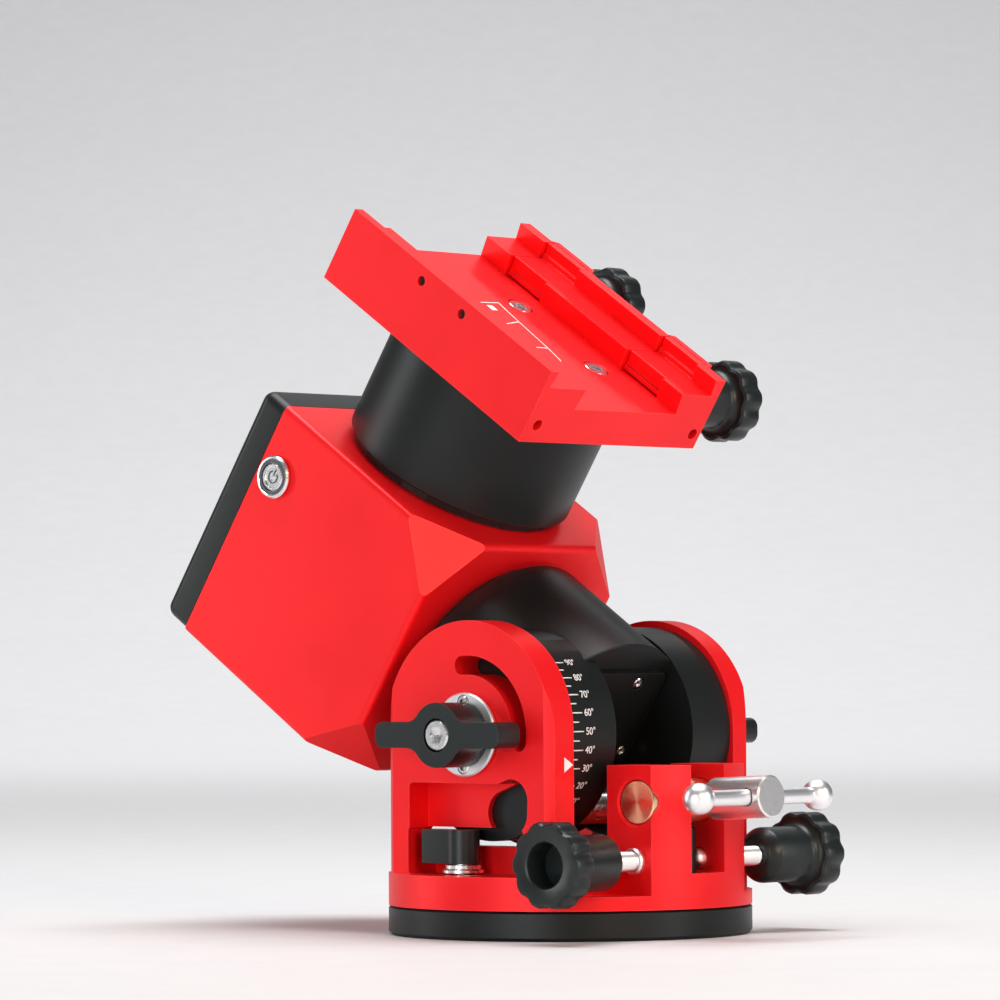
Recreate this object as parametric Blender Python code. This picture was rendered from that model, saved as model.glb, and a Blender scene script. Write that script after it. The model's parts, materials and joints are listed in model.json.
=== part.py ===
"""Strain-wave equatorial mount: a yoke on a round base, an altitude body, a right ascension
block, a declination head and a clamping saddle. Metres, +Z up. The origin is the centre of
the base's underside, +X is the front with the latitude handle, and latitude is tilt about Y."""
import bmesh
import bpy
import math
from mathutils import Vector

# Driving dimensions, in millimetres and degrees.
MM = 0.001
LATITUDE = 33.5             # angle of the right ascension axis above level
PIVOT_Z = 66.0              # height of the altitude pivot
BASE_R = 60.0               # the round base, and the billet the yoke is cut from
PUCK_TOP = 9.4
DISC_BOTTOM = 9.7
DISC_TOP = 20.5
NOTCH_TOP = 14.3            # the disc is lower in front of the side plates
PLATE_HALF = 36.0           # half-width of a side plate, and the radius of its round top
PLATE_ARC_Z = 67.0
PLATE_OUT = 50.0            # outer faces of the side plates, either side of the middle
NEAR_IN, FAR_IN = 38.7, 41.2
RIB_Y, RIB_TOP = 31.0, 29.5
CHEEK_Y = 23.3              # half-width of the front block
CHEEK_TOP = 56.0
CHEEK_BACK = 36.6
SLOT_Y = 8.3                # half-width of the slot in the front block
SLOT_FLOOR = 21.0
SCREW_X, SCREW_Z = 48.5, 25.3            # azimuth screws and azimuth post
TRUNNION_X, TRUNNION_Z = 49.0, 44.2
HANDLE_TILT = 3.0           # the latitude screw's outer end is a little higher
LUG_U, LUG_T = 19.94, -15.52             # the ears that take the latitude screw's nut
NUT_AT = 41.0               # from the trunnion inward to the nut
SCREW_R = 4.0
STUD_X = -7.0
STUD_Y = {"near": -44.5, "far": 47.0}
STUD_R = 3.0
POST_R = 4.5
DRUM_R = 34.8
DRUM_NEAR = (-38.4, -16.5)
DRUM_FAR = (22.0, 40.9)
TUBE_R = 40.0
TUBE_END = 8.0              # end plane of the right ascension tube, along its axis
TUBE_BORE = 34.0
PIN_R = 8.1                 # altitude pivot pins
BLOCK_FRONT, BLOCK_BACK = -43.3, -130.7
BLOCK_T = 44.85             # half-height of the block across its axis
BLOCK_Y = 47.2
WALL = 4.2
EDGE_CUT = 2.6
CORNER_CUT = 20.7
COVER_BACK, COVER_EDGE = -143.1, 4.0
SEAM = 3.15                 # turning seam between a tube and the block
DEC_U = -90.0               # declination axis, along the right ascension axis
DEC_TOP = 88.1
BUTTON = (-122.0, -BLOCK_Y, 22.2)
UNDER, FLOOR, LEDGE, RIM = 88.4, 101.3, 108.8, 114.8     # levels of the saddle
SADDLE_HALF = 52.3
SADDLE_Y = 43.6
SADDLE_WALL = 46.8          # outer face of the wall behind each jaw
JAWS = {"front": 32.5, "rear": -30.0}       # middles of the two clamping jaws
JAW_HALF = 9.2
JAW_Y = 25.2                # the channel's wall on the jaws' side, at the ledge
JAW_OUT = 44.0
JAW_SET = 2.0               # how far the open jaws stand back from the wall
JAW_FOOT = 34.0             # the part of a jaw below the channel starts here
CLAMP_T = 96.0              # height of the two saddle clamp screws
JAW_BOTTOM = 91.3
GAP = 0.3                   # clearance that touching pieces keep
KNOB_LENGTH, KNOB_R = 30.5, 13.6
KNOB_DISC = 9.2             # thickness of a hand knob's lobed disc
LOBE, LOBES = 0.6, 10
FINE, MEDIUM, COARSE, KNURLED = 48, 24, 14, 30

RED = ("red_anodised", (0.72, 0.010, 0.018), 0.38, 0.85)
BLACK = ("black_anodised", (0.018, 0.019, 0.020), 0.42, 0.8)
SLATE = ("slate_knob", (0.030, 0.036, 0.038), 0.35, 0.2)
SILVER = ("silver", (0.72, 0.72, 0.73), 0.25, 1.0)
BRASS = ("brass", (0.72, 0.48, 0.20), 0.28, 1.0)
STEEL = ("steel", (0.48, 0.48, 0.50), 0.32, 1.0)
BOARD = ("circuit_board", (0.02, 0.16, 0.06), 0.5, 0.0)
BELT = ("belt_rubber", (0.02, 0.02, 0.02), 0.8, 0.0)
PLASTIC = ("black_plastic", (0.02, 0.02, 0.02), 0.5, 0.0)

TURN = {"Z": (0, 0, 0), "Y": (-90, 0, 0), "-Y": (90, 0, 0), "X": (0, 90, 0)}


def material(spec):
    """A Principled material from (name, colour, roughness, metallic)."""
    name, colour, roughness, metallic = spec
    found = bpy.data.materials.get(name)
    if found:
        return found
    made = bpy.data.materials.new(name)
    made.use_nodes = True
    shader = made.node_tree.nodes["Principled BSDF"]
    shader.inputs["Base Color"].default_value = (*colour, 1.0)
    shader.inputs["Roughness"].default_value = roughness
    shader.inputs["Metallic"].default_value = metallic
    return made


def axis_empty(name, location, tilt=0.0, parent=None):
    """An empty on a joint's axis, turned about Y by tilt degrees."""
    empty = bpy.data.objects.new(name, None)
    empty.empty_display_size = 0.02
    empty.location = Vector(location) * MM
    empty.rotation_euler = (0.0, math.radians(tilt), 0.0)
    empty.parent = parent
    bpy.context.collection.objects.link(empty)
    return empty


def solid(name, bm, spec, parent=None, at=(0, 0, 0), axis="Z"):
    """Turn a bmesh in millimetres into a placed object; its own Z lies along axis."""
    bmesh.ops.scale(bm, vec=(MM, MM, MM), verts=bm.verts)
    bmesh.ops.recalc_face_normals(bm, faces=bm.faces)
    mesh = bpy.data.meshes.new(name)
    bm.to_mesh(mesh)
    bm.free()
    mesh.materials.append(material(spec))
    mesh.shade_smooth()
    mesh.set_sharp_from_angle(angle=math.radians(32))
    made = bpy.data.objects.new(name, mesh)
    made.parent = parent
    made.location = Vector(at) * MM
    made.rotation_euler = [math.radians(value) for value in TURN[axis]]
    bpy.context.collection.objects.link(made)
    return made


def tool(name, bm, parent=None, at=(0, 0, 0), axis="Z"):
    """A hidden cutter or filler for a Boolean."""
    made = solid(name, bm, STEEL, parent, at, axis)
    made.hide_render = True
    made.display_type = "WIRE"
    return made


def boolean(target, operation, other, solver="EXACT"):
    """Cut, join or intersect target with a tool."""
    modifier = target.modifiers.new(other.name, "BOOLEAN")
    modifier.operation = operation
    modifier.object = other
    modifier.solver = solver


def block_mesh(low, high, chamfer=0.0):
    """A box between two corners, with chamfered edges."""
    bm = bmesh.new()
    bmesh.ops.create_cube(bm, size=1.0)
    for vert in bm.verts:
        for i in range(3):
            vert.co[i] = high[i] if vert.co[i] > 0 else low[i]
    if chamfer:
        bmesh.ops.bevel(bm, geom=bm.edges, offset=chamfer, segments=1, affect="EDGES")
    return bm


def turned_mesh(profile, segments=MEDIUM):
    """A solid turned about Z from a closed outline of (radius, z) or (radius, z, wave, lobes).
    A radius of 0 is a point on the axis; wave ripples that ring's radius lobes times round."""
    bm = bmesh.new()
    rings = []
    for point in profile:
        radius, z = point[0], point[1]
        wave, lobes = (point[2], point[3]) if len(point) > 2 else (0.0, 0)
        if radius == 0:
            rings.append([bm.verts.new((0, 0, z))])
            continue
        ring = []
        for i in range(segments):
            angle = 2 * math.pi * i / segments
            r = radius + wave * math.cos(lobes * angle)
            ring.append(bm.verts.new((r * math.cos(angle), r * math.sin(angle), z)))
        rings.append(ring)
    for this, that in zip(rings, rings[1:] + rings[:1]):
        if len(this) == 1 and len(that) == 1:
            continue
        for i in range(segments):
            j = (i + 1) % segments
            if len(this) == 1:
                bm.faces.new((this[0], that[i], that[j]))
            elif len(that) == 1:
                bm.faces.new((this[i], this[j], that[0]))
            else:
                bm.faces.new((this[i], this[j], that[j], that[i]))
    return bm


def rod_mesh(radius, start, end, chamfer=0.0, segments=COARSE):
    """A rod along Z, chamfered at both ends."""
    outer = [(radius, start), (radius, end)]
    if chamfer:
        outer = [(radius - chamfer, start), (radius, start + chamfer),
                 (radius, end - chamfer), (radius - chamfer, end)]
    return turned_mesh(outer + [(0, end), (0, start)], segments)


def prism_mesh(outline, start, end, across="XZ"):
    """An outline extruded from start to end, square to the plane that across names."""
    bm = bmesh.new()
    place = {"XZ": lambda p, d: (p[0], d, p[1]),
             "YZ": lambda p, d: (d, p[0], p[1]),
             "XY": lambda p, d: (p[0], p[1], d)}[across]
    low = [bm.verts.new(place(point, start)) for point in outline]
    high = [bm.verts.new(place(point, end)) for point in outline]
    bm.faces.new(low)
    bm.faces.new(high)
    for i in range(len(outline)):
        j = (i + 1) % len(outline)
        bm.faces.new((low[i], low[j], high[j], high[i]))
    return bm


def arc(centre, radius, first, last, steps):
    """Points on an arc, angles in degrees."""
    points = []
    for i in range(steps + 1):
        angle = math.radians(first + (last - first) * i / steps)
        points.append((centre[0] + radius * math.cos(angle), centre[1] + radius * math.sin(angle)))
    return points


def make_axes():
    """Empties on the joint axes, each the parent of what turns or slides there."""
    axes = {"azimuth": axis_empty("azimuth_axis", (0, 0, 0))}
    axes["altitude"] = axis_empty("altitude_axis", (0, 0, PIVOT_Z), LATITUDE)
    axes["ra"] = axis_empty("right_ascension_axis", (0, 0, 0), 0, axes["altitude"])
    axes["dec"] = axis_empty("declination_axis", (DEC_U, 0, 0), 0, axes["ra"])
    axes["handle"] = axis_empty("latitude_screw_axis", (TRUNNION_X, 0, TRUNNION_Z), -HANDLE_TILT)
    return axes


def make_base():
    """The black puck, its central bush, the azimuth post and the two clamping studs."""
    bush_r, thread_r, flange_r, flange_top = 9.0, 4.8, 14.0, 23.6
    socket_floor, post_top, stud_top = 3.0, 36.0, 33.6
    seat = DISC_TOP + GAP
    puck = turned_mesh([(BASE_R - 1.2, 0), (BASE_R, 1.2), (BASE_R, PUCK_TOP - 0.5),
                        (BASE_R - 0.5, PUCK_TOP), (bush_r + GAP, PUCK_TOP), (bush_r + GAP, 0)], FINE)
    puck = solid("base_puck", puck, BLACK)
    sockets = {"post": (SCREW_X, 0, POST_R)}
    sockets.update({side: (STUD_X, y, STUD_R) for side, y in STUD_Y.items()})
    for name, (x, y, radius) in sockets.items():
        cutter = rod_mesh(radius + GAP, socket_floor, PUCK_TOP + 2)
        boolean(puck, "DIFFERENCE", tool(f"puck_socket_{name}", cutter, None, (x, y, 0)))
    bush = turned_mesh([(bush_r, GAP), (bush_r, seat), (flange_r, seat), (flange_r, flange_top - 1),
                        (flange_r - 1, flange_top), (0, flange_top), (0, 16), (thread_r, 14),
                        (thread_r, GAP)], MEDIUM)
    solid("tripod_bush", bush, STEEL)
    post = rod_mesh(POST_R, socket_floor + GAP, post_top, 0.8)
    solid("azimuth_post", post, STEEL, None, (SCREW_X, 0, 0))
    for side, y in STUD_Y.items():
        place = (STUD_X, y, 0)
        stud = rod_mesh(STUD_R, socket_floor + GAP, stud_top, 0.5)
        solid(f"clamp_stud_{side}", stud, STEEL, None, place)
        washer = [(6.8, seat), (6.8, 22.2), (5.9, 22.4), (5.9, 23.7), (STUD_R + GAP, 23.7),
                  (STUD_R + GAP, seat)]
        solid(f"clamp_washer_{side}", turned_mesh(washer), SILVER, None, place)


def make_azimuth_lever(side):
    """A clamping lever on its stud inside a side window; its arm lies along -X."""
    low, high, hub_r, bore_top = 24.0, 35.0, 5.4, 34.0
    arm_end, arm_half, corner = -16.2, 3.6, 2.0
    place = (STUD_X, STUD_Y[side], 0)
    outline = arc((0, 0), hub_r, -140, 140, 14)
    outline += arc((arm_end + corner, arm_half - corner), corner, 90, 180, 3)
    outline += arc((arm_end + corner, corner - arm_half), corner, 180, 270, 3)
    lever = solid(f"azimuth_lever_{side}", prism_mesh(outline, low, high, "XY"), SLATE, None, place)
    bore = rod_mesh(STUD_R + GAP, low - 1, bore_top)
    boolean(lever, "DIFFERENCE", tool(f"azimuth_lever_bore_{side}", bore, None, place))


def plate_outline():
    """A side plate: straight sides and a round top."""
    floor = DISC_TOP - 2
    outline = [(-PLATE_HALF, floor), (PLATE_HALF, floor)]
    return outline + arc((0, PLATE_ARC_Z), PLATE_HALF, 0, 180, 32)


def arc_slot_outline():
    """The curved slot round the pivot, with round ends."""
    centre, radius, half, first, last = (0, PIVOT_Z), 22.5, 3.1, -6, 96
    low = arc(centre, radius, first, first, 1)[0]
    high = arc(centre, radius, last, last, 1)[0]
    outline = arc(centre, radius + half, first, last, 16)
    outline += arc(high, half, last, last + 180, 6)[1:-1]
    outline += arc(centre, radius - half, last, first, 16)
    outline += arc(low, half, first + 180, first + 360, 6)[1:-1]
    return outline


def pin_window_outline():
    """The window beside the pocket: three round corners with straight edges between them."""
    upper, left, lower, radius = (18.9, 44.6), (7.8, 40.5), (18.7, 40.7), 7.2
    slant = 110
    outline = arc(upper, radius, 0, slant, 8)
    outline += arc(left, radius, slant, 270, 12)
    return outline + arc(lower, radius, 270, 360, 8)[:-1]


def box_both_sides(low, high, sign):
    """A box given for the far side, mirrored to the near side when sign is -1."""
    y = sorted((sign * low[1], sign * high[1]))
    return block_mesh((low[0], y[0], low[2]), (high[0], y[1], high[2]))


def make_yoke(parent):
    """The yoke: base disc, two side plates and the split front block, cut from one billet."""
    beyond, top = 70, PLATE_ARC_Z + PLATE_HALF + 5
    rough = 0.1                 # stock left for the next cut to remove
    yoke = solid("yoke", rod_mesh(BASE_R + 2, DISC_BOTTOM, DISC_TOP, 0, FINE), RED, parent)
    fillers = {"front_block": block_mesh((CHEEK_BACK, -CHEEK_Y - rough, DISC_TOP - 3),
                                         (BASE_R + 2, CHEEK_Y + rough, CHEEK_TOP))}
    cutters = {}
    for side, sign, inner in (("near", -1, NEAR_IN), ("far", 1, FAR_IN)):
        across = sorted((sign * inner, sign * (BASE_R + 3)))
        outward = sorted((sign * 30, sign * beyond))
        fillers[f"{side}_plate"] = prism_mesh(plate_outline(), *across)
        fillers[f"{side}_rib"] = box_both_sides((-34, RIB_Y, DISC_TOP - 2),
                                                (34, inner + 2, RIB_TOP), sign)
        cutters[f"{side}_face"] = box_both_sides((-beyond, PLATE_OUT, DISC_TOP - rough),
                                                 (beyond, beyond, top), sign)
        cutters[f"{side}_notch"] = box_both_sides((PLATE_HALF - rough, CHEEK_Y, NOTCH_TOP),
                                                  (beyond + 1, beyond + 1, top + 1), sign)
        cutters[f"{side}_pocket"] = box_both_sides((-25.8, inner + 2.1, 35.0),
                                                   (14, beyond + 3, 50.3), sign)
        cutters[f"{side}_window"] = box_both_sides((-26.4, 36.5, DISC_TOP - 2 * rough),
                                                   (24, beyond + 2, 35.7), sign)
        cutters[f"{side}_pin_window"] = prism_mesh(pin_window_outline(), *outward)
        cutters[f"{side}_arc"] = prism_mesh(arc_slot_outline(), *outward)
        stud_y = STUD_Y[side]
        cutters[f"{side}_stud_slot"] = block_mesh((STUD_X - 6.6, stud_y - 3.9, 5),
                                                  (STUD_X + 6.6, stud_y + 3.9, 25))
    cutters["rear_relief"] = block_mesh((-beyond, -beyond, 17.0), (-43.8, beyond, top))
    cutters["front_slot"] = block_mesh((30, -SLOT_Y, SLOT_FLOOR), (beyond, SLOT_Y, top))
    way = SLOT_Y - 0.5
    post_way = block_mesh((SCREW_X - 6.3, -way, 5), (SCREW_X + 6.3, way, SLOT_FLOOR + 5))
    cutters["post_hole"] = post_way
    cutters["centre_hole"] = rod_mesh(9.5, 5, 30, 0, MEDIUM)
    for name, bm in fillers.items():
        boolean(yoke, "UNION", tool(f"yoke_{name}", bm, parent), "MANIFOLD")
    billet = tool("yoke_billet", rod_mesh(BASE_R, 5, top, 0, FINE), parent)
    boolean(yoke, "INTERSECT", billet, "MANIFOLD")
    for name, bm in cutters.items():
        boolean(yoke, "DIFFERENCE", tool(f"yoke_{name}", bm, parent), "MANIFOLD")
    across = {
        "pivot_bore": (PIN_R + GAP, (0, 0, PIVOT_Z), beyond),
        "trunnion_bore": (7.5, (TRUNNION_X, 0, TRUNNION_Z), 30),
        "azimuth_bore": (3.6, (SCREW_X, 0, SCREW_Z), 30),
    }
    for name, (radius, place, reach) in across.items():
        bore = rod_mesh(radius, -reach, reach, 0, MEDIUM)
        cutter = tool(f"yoke_{name}", bore, parent, place, "Y")
        boolean(yoke, "DIFFERENCE", cutter, "MANIFOLD")


def knob_mesh(length):
    """A ten-lobed hand knob along Z: its neck starts at 0, its hollow end is at length."""
    disc, neck_r, bore_r, bore_end, hollow_r = length - KNOB_DISC, 9.2, 3.6, 16.0, 7.2
    hollow = length - 9
    profile = [(bore_r, 0), (6.2, 0), (neck_r, 3.2), (neck_r, disc - 2.5), (11.4, disc),
               (12.2, disc, LOBE, LOBES), (KNOB_R, disc + 1.6, LOBE, LOBES),
               (KNOB_R, length - 1.4, LOBE, LOBES), (12.4, length, LOBE, LOBES),
               (hollow_r, length), (hollow_r, hollow), (0, hollow), (0, bore_end),
               (bore_r, bore_end)]
    return turned_mesh(profile, KNURLED)


def make_azimuth_screw(side, axis, sign, parent):
    """One azimuth screw and its knob, pushing the post from its side of the slot."""
    tip, neck, end, radius = POST_R + GAP, 37.0, 51.5, 3.3
    profile = [(0, tip), (2.2, tip + 0.6), (radius, tip + 2), (radius, end - 0.6),
               (radius - 0.6, end), (0, end)]
    solid(f"azimuth_screw_{side}", turned_mesh(profile, COARSE), SILVER, parent,
          (SCREW_X, 0, SCREW_Z), axis)
    solid(f"azimuth_knob_{side}", knob_mesh(KNOB_LENGTH), SLATE, parent,
          (SCREW_X, sign * neck, SCREW_Z), axis)


def make_pivot(side, axis, parent):
    """The flanged altitude pin of one side plate, with its wing lever and clamping screw."""
    flange_r, bore_r, place = 13.6, 3.4, (0, 0, PIVOT_Z)
    face = PLATE_OUT + GAP
    pin_end = face - 20
    profile = [(bore_r, pin_end), (PIN_R, pin_end), (PIN_R, face), (flange_r, face),
               (flange_r, face + 1.1), (flange_r - 0.5, face + 1.6), (bore_r, face + 1.6)]
    solid(f"pivot_flange_{side}", turned_mesh(profile), SILVER, parent, place, axis)
    back, front, head = face + 2.2, face + 14.6, face + 9.7
    hub_r, half, end, corner = 10.5, 4.3, 27.0, 2.0
    root = math.degrees(math.asin(half / hub_r))
    outline = arc((0, 0), hub_r, root, 180 - root, 10)
    outline += arc((corner - end, half - corner), corner, 90, 180, 3)
    outline += arc((corner - end, corner - half), corner, 180, 270, 3)
    outline += arc((0, 0), hub_r, 180 + root, 360 - root, 10)
    outline += arc((end - corner, corner - half), corner, 270, 360, 3)
    outline += arc((end - corner, half - corner), corner, 0, 90, 3)
    lever = solid(f"wing_lever_{side}", prism_mesh(outline, back, front, "XY"), SLATE, parent,
                  place, axis)
    counterbore = turned_mesh([(STUD_R + GAP, back - 1), (STUD_R + GAP, head - GAP),
                               (5.5, head - GAP), (5.5, front + 1), (0, front + 1),
                               (0, back - 1)], COARSE)
    boolean(lever, "DIFFERENCE", tool(f"wing_lever_bore_{side}", counterbore, parent, place, axis))
    screw = [(0, head - 36), (STUD_R, head - 35.5), (STUD_R, head), (5.0, head),
             (5.0, front - 0.4), (4.6, front), (2.9, front, 0.2, 6), (2.9, front - 3, 0.2, 6),
             (0, front - 3)]
    solid(f"wing_screw_{side}", turned_mesh(screw, COARSE), SILVER, parent, place, axis)


def make_latitude_screw(parent):
    """The brass trunnion in the front block, and the latitude screw with T-handle and nut."""
    origin = (0, 0, 0)
    trunnion = solid("trunnion", rod_mesh(7.2, 0.4 - CHEEK_Y, CHEEK_Y - 0.4, 0.6, MEDIUM), BRASS,
                     parent, origin, "Y")
    bore = tool("trunnion_bore", rod_mesh(SCREW_R + GAP, -12, 12), parent, origin, "X")
    boolean(trunnion, "DIFFERENCE", bore)
    inner_end, collar, grip, grip_end, grip_r, bar_at = -68.0, 10.6, 13.6, 37.2, 6.8, 31.8
    profile = [(0, inner_end), (SCREW_R - 0.8, inner_end), (SCREW_R, inner_end + 0.8),
               (SCREW_R, collar), (4.9, collar), (4.9, grip), (grip_r - 0.6, grip),
               (grip_r, grip + 0.6), (grip_r, grip_end - 0.6), (grip_r - 0.6, grip_end),
               (0, grip_end)]
    screw = solid("latitude_screw", turned_mesh(profile, COARSE), SILVER, parent, origin, "X")
    reach, ball_r, bar_r = 29.8, 5.1, 2.6
    neck = 180 - math.degrees(math.asin(bar_r / ball_r))
    angles = [math.radians(value) for value in (30, 60, 90, 120, neck)]
    half = [(0, reach + ball_r)]
    half += [(ball_r * math.sin(a), reach + ball_r * math.cos(a)) for a in angles]
    mirrored = [(r, -z) for r, z in reversed(half)]
    bar = tool("handle_crossbar", turned_mesh(half + mirrored, COARSE), parent, (bar_at, 0, 0), "Y")
    boolean(screw, "UNION", bar)
    place = (-NUT_AT, 0, 0)
    nut = solid("latitude_nut", rod_mesh(6.2, -7.6, 7.6, 0.6), BRASS, parent, place, "Y")
    thread = tool("latitude_nut_thread", rod_mesh(SCREW_R + GAP, -12, 12), parent, place, "X")
    boolean(nut, "DIFFERENCE", thread)


def make_altitude_body(parent):
    """The black altitude body: two drums between the plates and the right ascension tube."""
    tube_start, slab, bore_end = BLOCK_FRONT + SEAM, -37.4, -15.0
    body = solid("altitude_body", rod_mesh(TUBE_R, tube_start, TUBE_END, 0, FINE), BLACK, parent,
                 (0, 0, 0), "X")
    flat = block_mesh((slab, -60, -60), (30, DRUM_NEAR[0] + 0.1, 60))
    boolean(body, "DIFFERENCE", tool("altitude_flat", flat, parent), "MANIFOLD")
    for side, (low, high) in (("near", DRUM_NEAR), ("far", DRUM_FAR)):
        drum = rod_mesh(DRUM_R, low, high, 0, FINE)
        drum = tool(f"altitude_drum_{side}", drum, parent, (0, 0, 0), "Y")
        boolean(body, "UNION", drum, "MANIFOLD")
        lug_y = sorted(math.copysign(value, low) for value in (8.4, 12.5))
        ear = arc((LUG_U, LUG_T), 6.5, -90, 90, 10)
        ear += [(TUBE_END - 1, LUG_T + 6.5), (TUBE_END - 1, LUG_T - 6.5)]
        lug = tool(f"screw_lug_{side}", prism_mesh(ear, *lug_y), parent)
        boolean(body, "UNION", lug, "MANIFOLD")
    place = (LUG_U, 0, LUG_T)
    lug_bore = tool("screw_lug_bore", rod_mesh(STUD_R + GAP, -15, 15), parent, place, "Y")
    boolean(body, "DIFFERENCE", lug_bore, "MANIFOLD")
    bore = rod_mesh(TUBE_BORE, tube_start - 2, bore_end, 0, MEDIUM)
    bore = tool("altitude_bore", bore, parent, (0, 0, 0), "X")
    boolean(body, "DIFFERENCE", bore, "MANIFOLD")
    slot = block_mesh((bore_end - 2, -8.2, -50), (TUBE_END + 1, 8.2, -6))
    boolean(body, "DIFFERENCE", tool("altitude_screw_slot", slot, parent), "MANIFOLD")
    pins = {"pin_near": (PIN_R + GAP, -45, -28), "pin_far": (PIN_R + GAP, 28, 50),
            "screw_near": (STUD_R + GAP, -45, -22), "screw_far": (STUD_R + GAP, 22.5, 50)}
    for name, (radius, low, high) in pins.items():
        pin = tool(f"altitude_{name}", rod_mesh(radius, low, high), parent, (0, 0, 0), "Y")
        boolean(body, "DIFFERENCE", pin, "MANIFOLD")
    cover = block_mesh((TUBE_END + GAP, -15.6, -5), (TUBE_END + 2.2, 21.0, 30), 0.5)
    solid("tube_end_cover", cover, BLACK, parent)


def belt_mesh(pulley_r, pinion_r, motor_at, low, high):
    """A flat belt round a pulley on the axis and a pinion at motor_at."""
    lean = math.degrees(math.acos((pulley_r - pinion_r) / math.hypot(*motor_at)))
    middle = math.degrees(math.atan2(motor_at[1], motor_at[0]))
    bm = bmesh.new()
    rings = []
    for extra, z in ((0.8, low), (2.2, low), (2.2, high), (0.8, high)):
        loop = arc((0, 0), pulley_r + extra, middle + lean, middle + 360 - lean, 24)
        loop += arc(motor_at, pinion_r + extra, middle - lean, middle + lean, 12)
        rings.append([bm.verts.new((x, y, z)) for x, y in loop])
    for this, that in zip(rings, rings[1:] + rings[:1]):
        for i in range(len(this)):
            j = (i + 1) % len(this)
            bm.faces.new((this[i], this[j], that[j], that[i]))
    return bm


def make_drive(name, spline_parent, block_parent, axis, start, motor_at):
    """One strain-wave drive: start is the block's face along the parent's axis, and motor_at
    is the motor shaft as (x, y) of the drive's own frame. Heights run outward from the face."""
    def put(node, bm, spec, parent, offset=(0, 0)):
        at = {"X": (start, offset[1], -offset[0]), "Z": (offset[0], offset[1], start)}[axis]
        return solid(f"{name}_{node}", bm, spec, parent, at, axis)
    shaft_r, pulley_r, pinion_r, belt_low, belt_high = 4.0, 18.6, 6.0, -17.0, -9.0
    bearing_top, spline_low, spline_top = SEAM - GAP, 7.3, 16.3
    put("bearing", turned_mesh([(30, GAP), (37.4, GAP), (37.4, bearing_top), (30, bearing_top)]),
        STEEL, block_parent)
    put("circular_spline", turned_mesh([(26.4, spline_low), (TUBE_BORE - 0.4, spline_low),
                                        (TUBE_BORE - 0.4, spline_top), (26.4, spline_top)]),
        STEEL, spline_parent)
    put("flexspline", turned_mesh([(8, GAP), (25.9, GAP), (25.9, 16.0), (24.9, 16.0),
                                   (24.9, 2.2), (8, 2.2)]), STEEL, block_parent)
    put("wave_generator", turned_mesh([(0, -21), (shaft_r, -20.6), (shaft_r, 8.5),
                                       (23.6, 8.5, 0.7, 2), (23.6, 14.8, 0.7, 2), (0, 14.8)]),
        STEEL, block_parent)
    bore_r = shaft_r + GAP
    put("pulley", turned_mesh([(bore_r, belt_low), (pulley_r, belt_low, 0.35, 20),
                               (pulley_r, belt_high, 0.35, 20), (bore_r, belt_high)], KNURLED),
        SILVER, block_parent)
    put("belt", belt_mesh(pulley_r, pinion_r, motor_at, belt_low + 1, belt_high - 1), BELT,
        block_parent)
    half, motor_face, motor_back = 17.5, -19.0, -54.5
    motor = put("motor", block_mesh((-half, -half, motor_back), (half, half, motor_face), 2.5),
                BLACK, block_parent, motor_at)
    shaft = rod_mesh(2.2, motor_face - 4, belt_high + 1)
    shaft = tool(f"{name}_motor_shaft", shaft, block_parent, motor.location / MM, axis)
    boolean(motor, "UNION", shaft)
    put("motor_pulley", turned_mesh([(2.5, belt_low), (pinion_r, belt_low, 0.3, 10),
                                     (pinion_r, belt_high, 0.3, 10), (2.5, belt_high)], KNURLED),
        SILVER, block_parent, motor_at)


def make_block(parent):
    """The red block: open at the back, with its four front corners cut off."""
    body = block_mesh((BLOCK_BACK, -BLOCK_Y, -BLOCK_T), (BLOCK_FRONT, BLOCK_Y, BLOCK_T))
    middle = (BLOCK_FRONT + BLOCK_BACK) / 2
    edges = [edge for edge in body.edges if max(vert.co.x for vert in edge.verts) > middle]
    bmesh.ops.bevel(body, geom=edges, offset=EDGE_CUT, segments=1, affect="EDGES")
    for y in (-1, 1):
        for t in (-1, 1):
            point = (BLOCK_FRONT - CORNER_CUT, y * BLOCK_Y, t * BLOCK_T)
            whole = body.verts[:] + body.edges[:] + body.faces[:]
            cut = bmesh.ops.bisect_plane(body, geom=whole, plane_co=point, plane_no=(1, y, t),
                                         clear_outer=True)
            rim = [item for item in cut["geom_cut"] if isinstance(item, bmesh.types.BMEdge)]
            bmesh.ops.contextual_create(body, geom=rim)
    block = solid("block_shell", body, RED, parent)
    cavities = {
        "main": block_mesh((BLOCK_BACK - 5, WALL - BLOCK_Y, WALL - BLOCK_T),
                           (-62, BLOCK_Y - WALL, BLOCK_T - WALL)),
        "front": block_mesh((-70, -33, -31), (-48, 33, 31)),
    }
    for name, bm in cavities.items():
        boolean(block, "DIFFERENCE", tool(f"block_cavity_{name}", bm, parent))
    holes = {"front": (22.0, (-54, 0, 0), "X"), "top": (22.0, (DEC_U, 0, 35), "Z"),
             "button": (6.2, (BUTTON[0], BUTTON[1] - 5, BUTTON[2]), "Y")}
    for name, (radius, at, axis) in holes.items():
        bore = rod_mesh(radius, 0, 20, 0, MEDIUM)
        boolean(block, "DIFFERENCE", tool(f"block_hole_{name}", bore, parent, at, axis))
    bezel = turned_mesh([(4.9, 12), (5.9, 12), (5.9, -GAP), (7.25, -GAP), (7.25, -1.2),
                         (6.7, -1.8), (4.9, -1.8)])
    solid("power_button_bezel", bezel, SILVER, parent, BUTTON, "Y")
    button = turned_mesh([(0, -1.6), (4.2, -1.6), (4.6, -1.2), (4.6, 8), (0, 8)], COARSE)
    solid("power_button", button, SILVER, parent, BUTTON, "Y")


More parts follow.
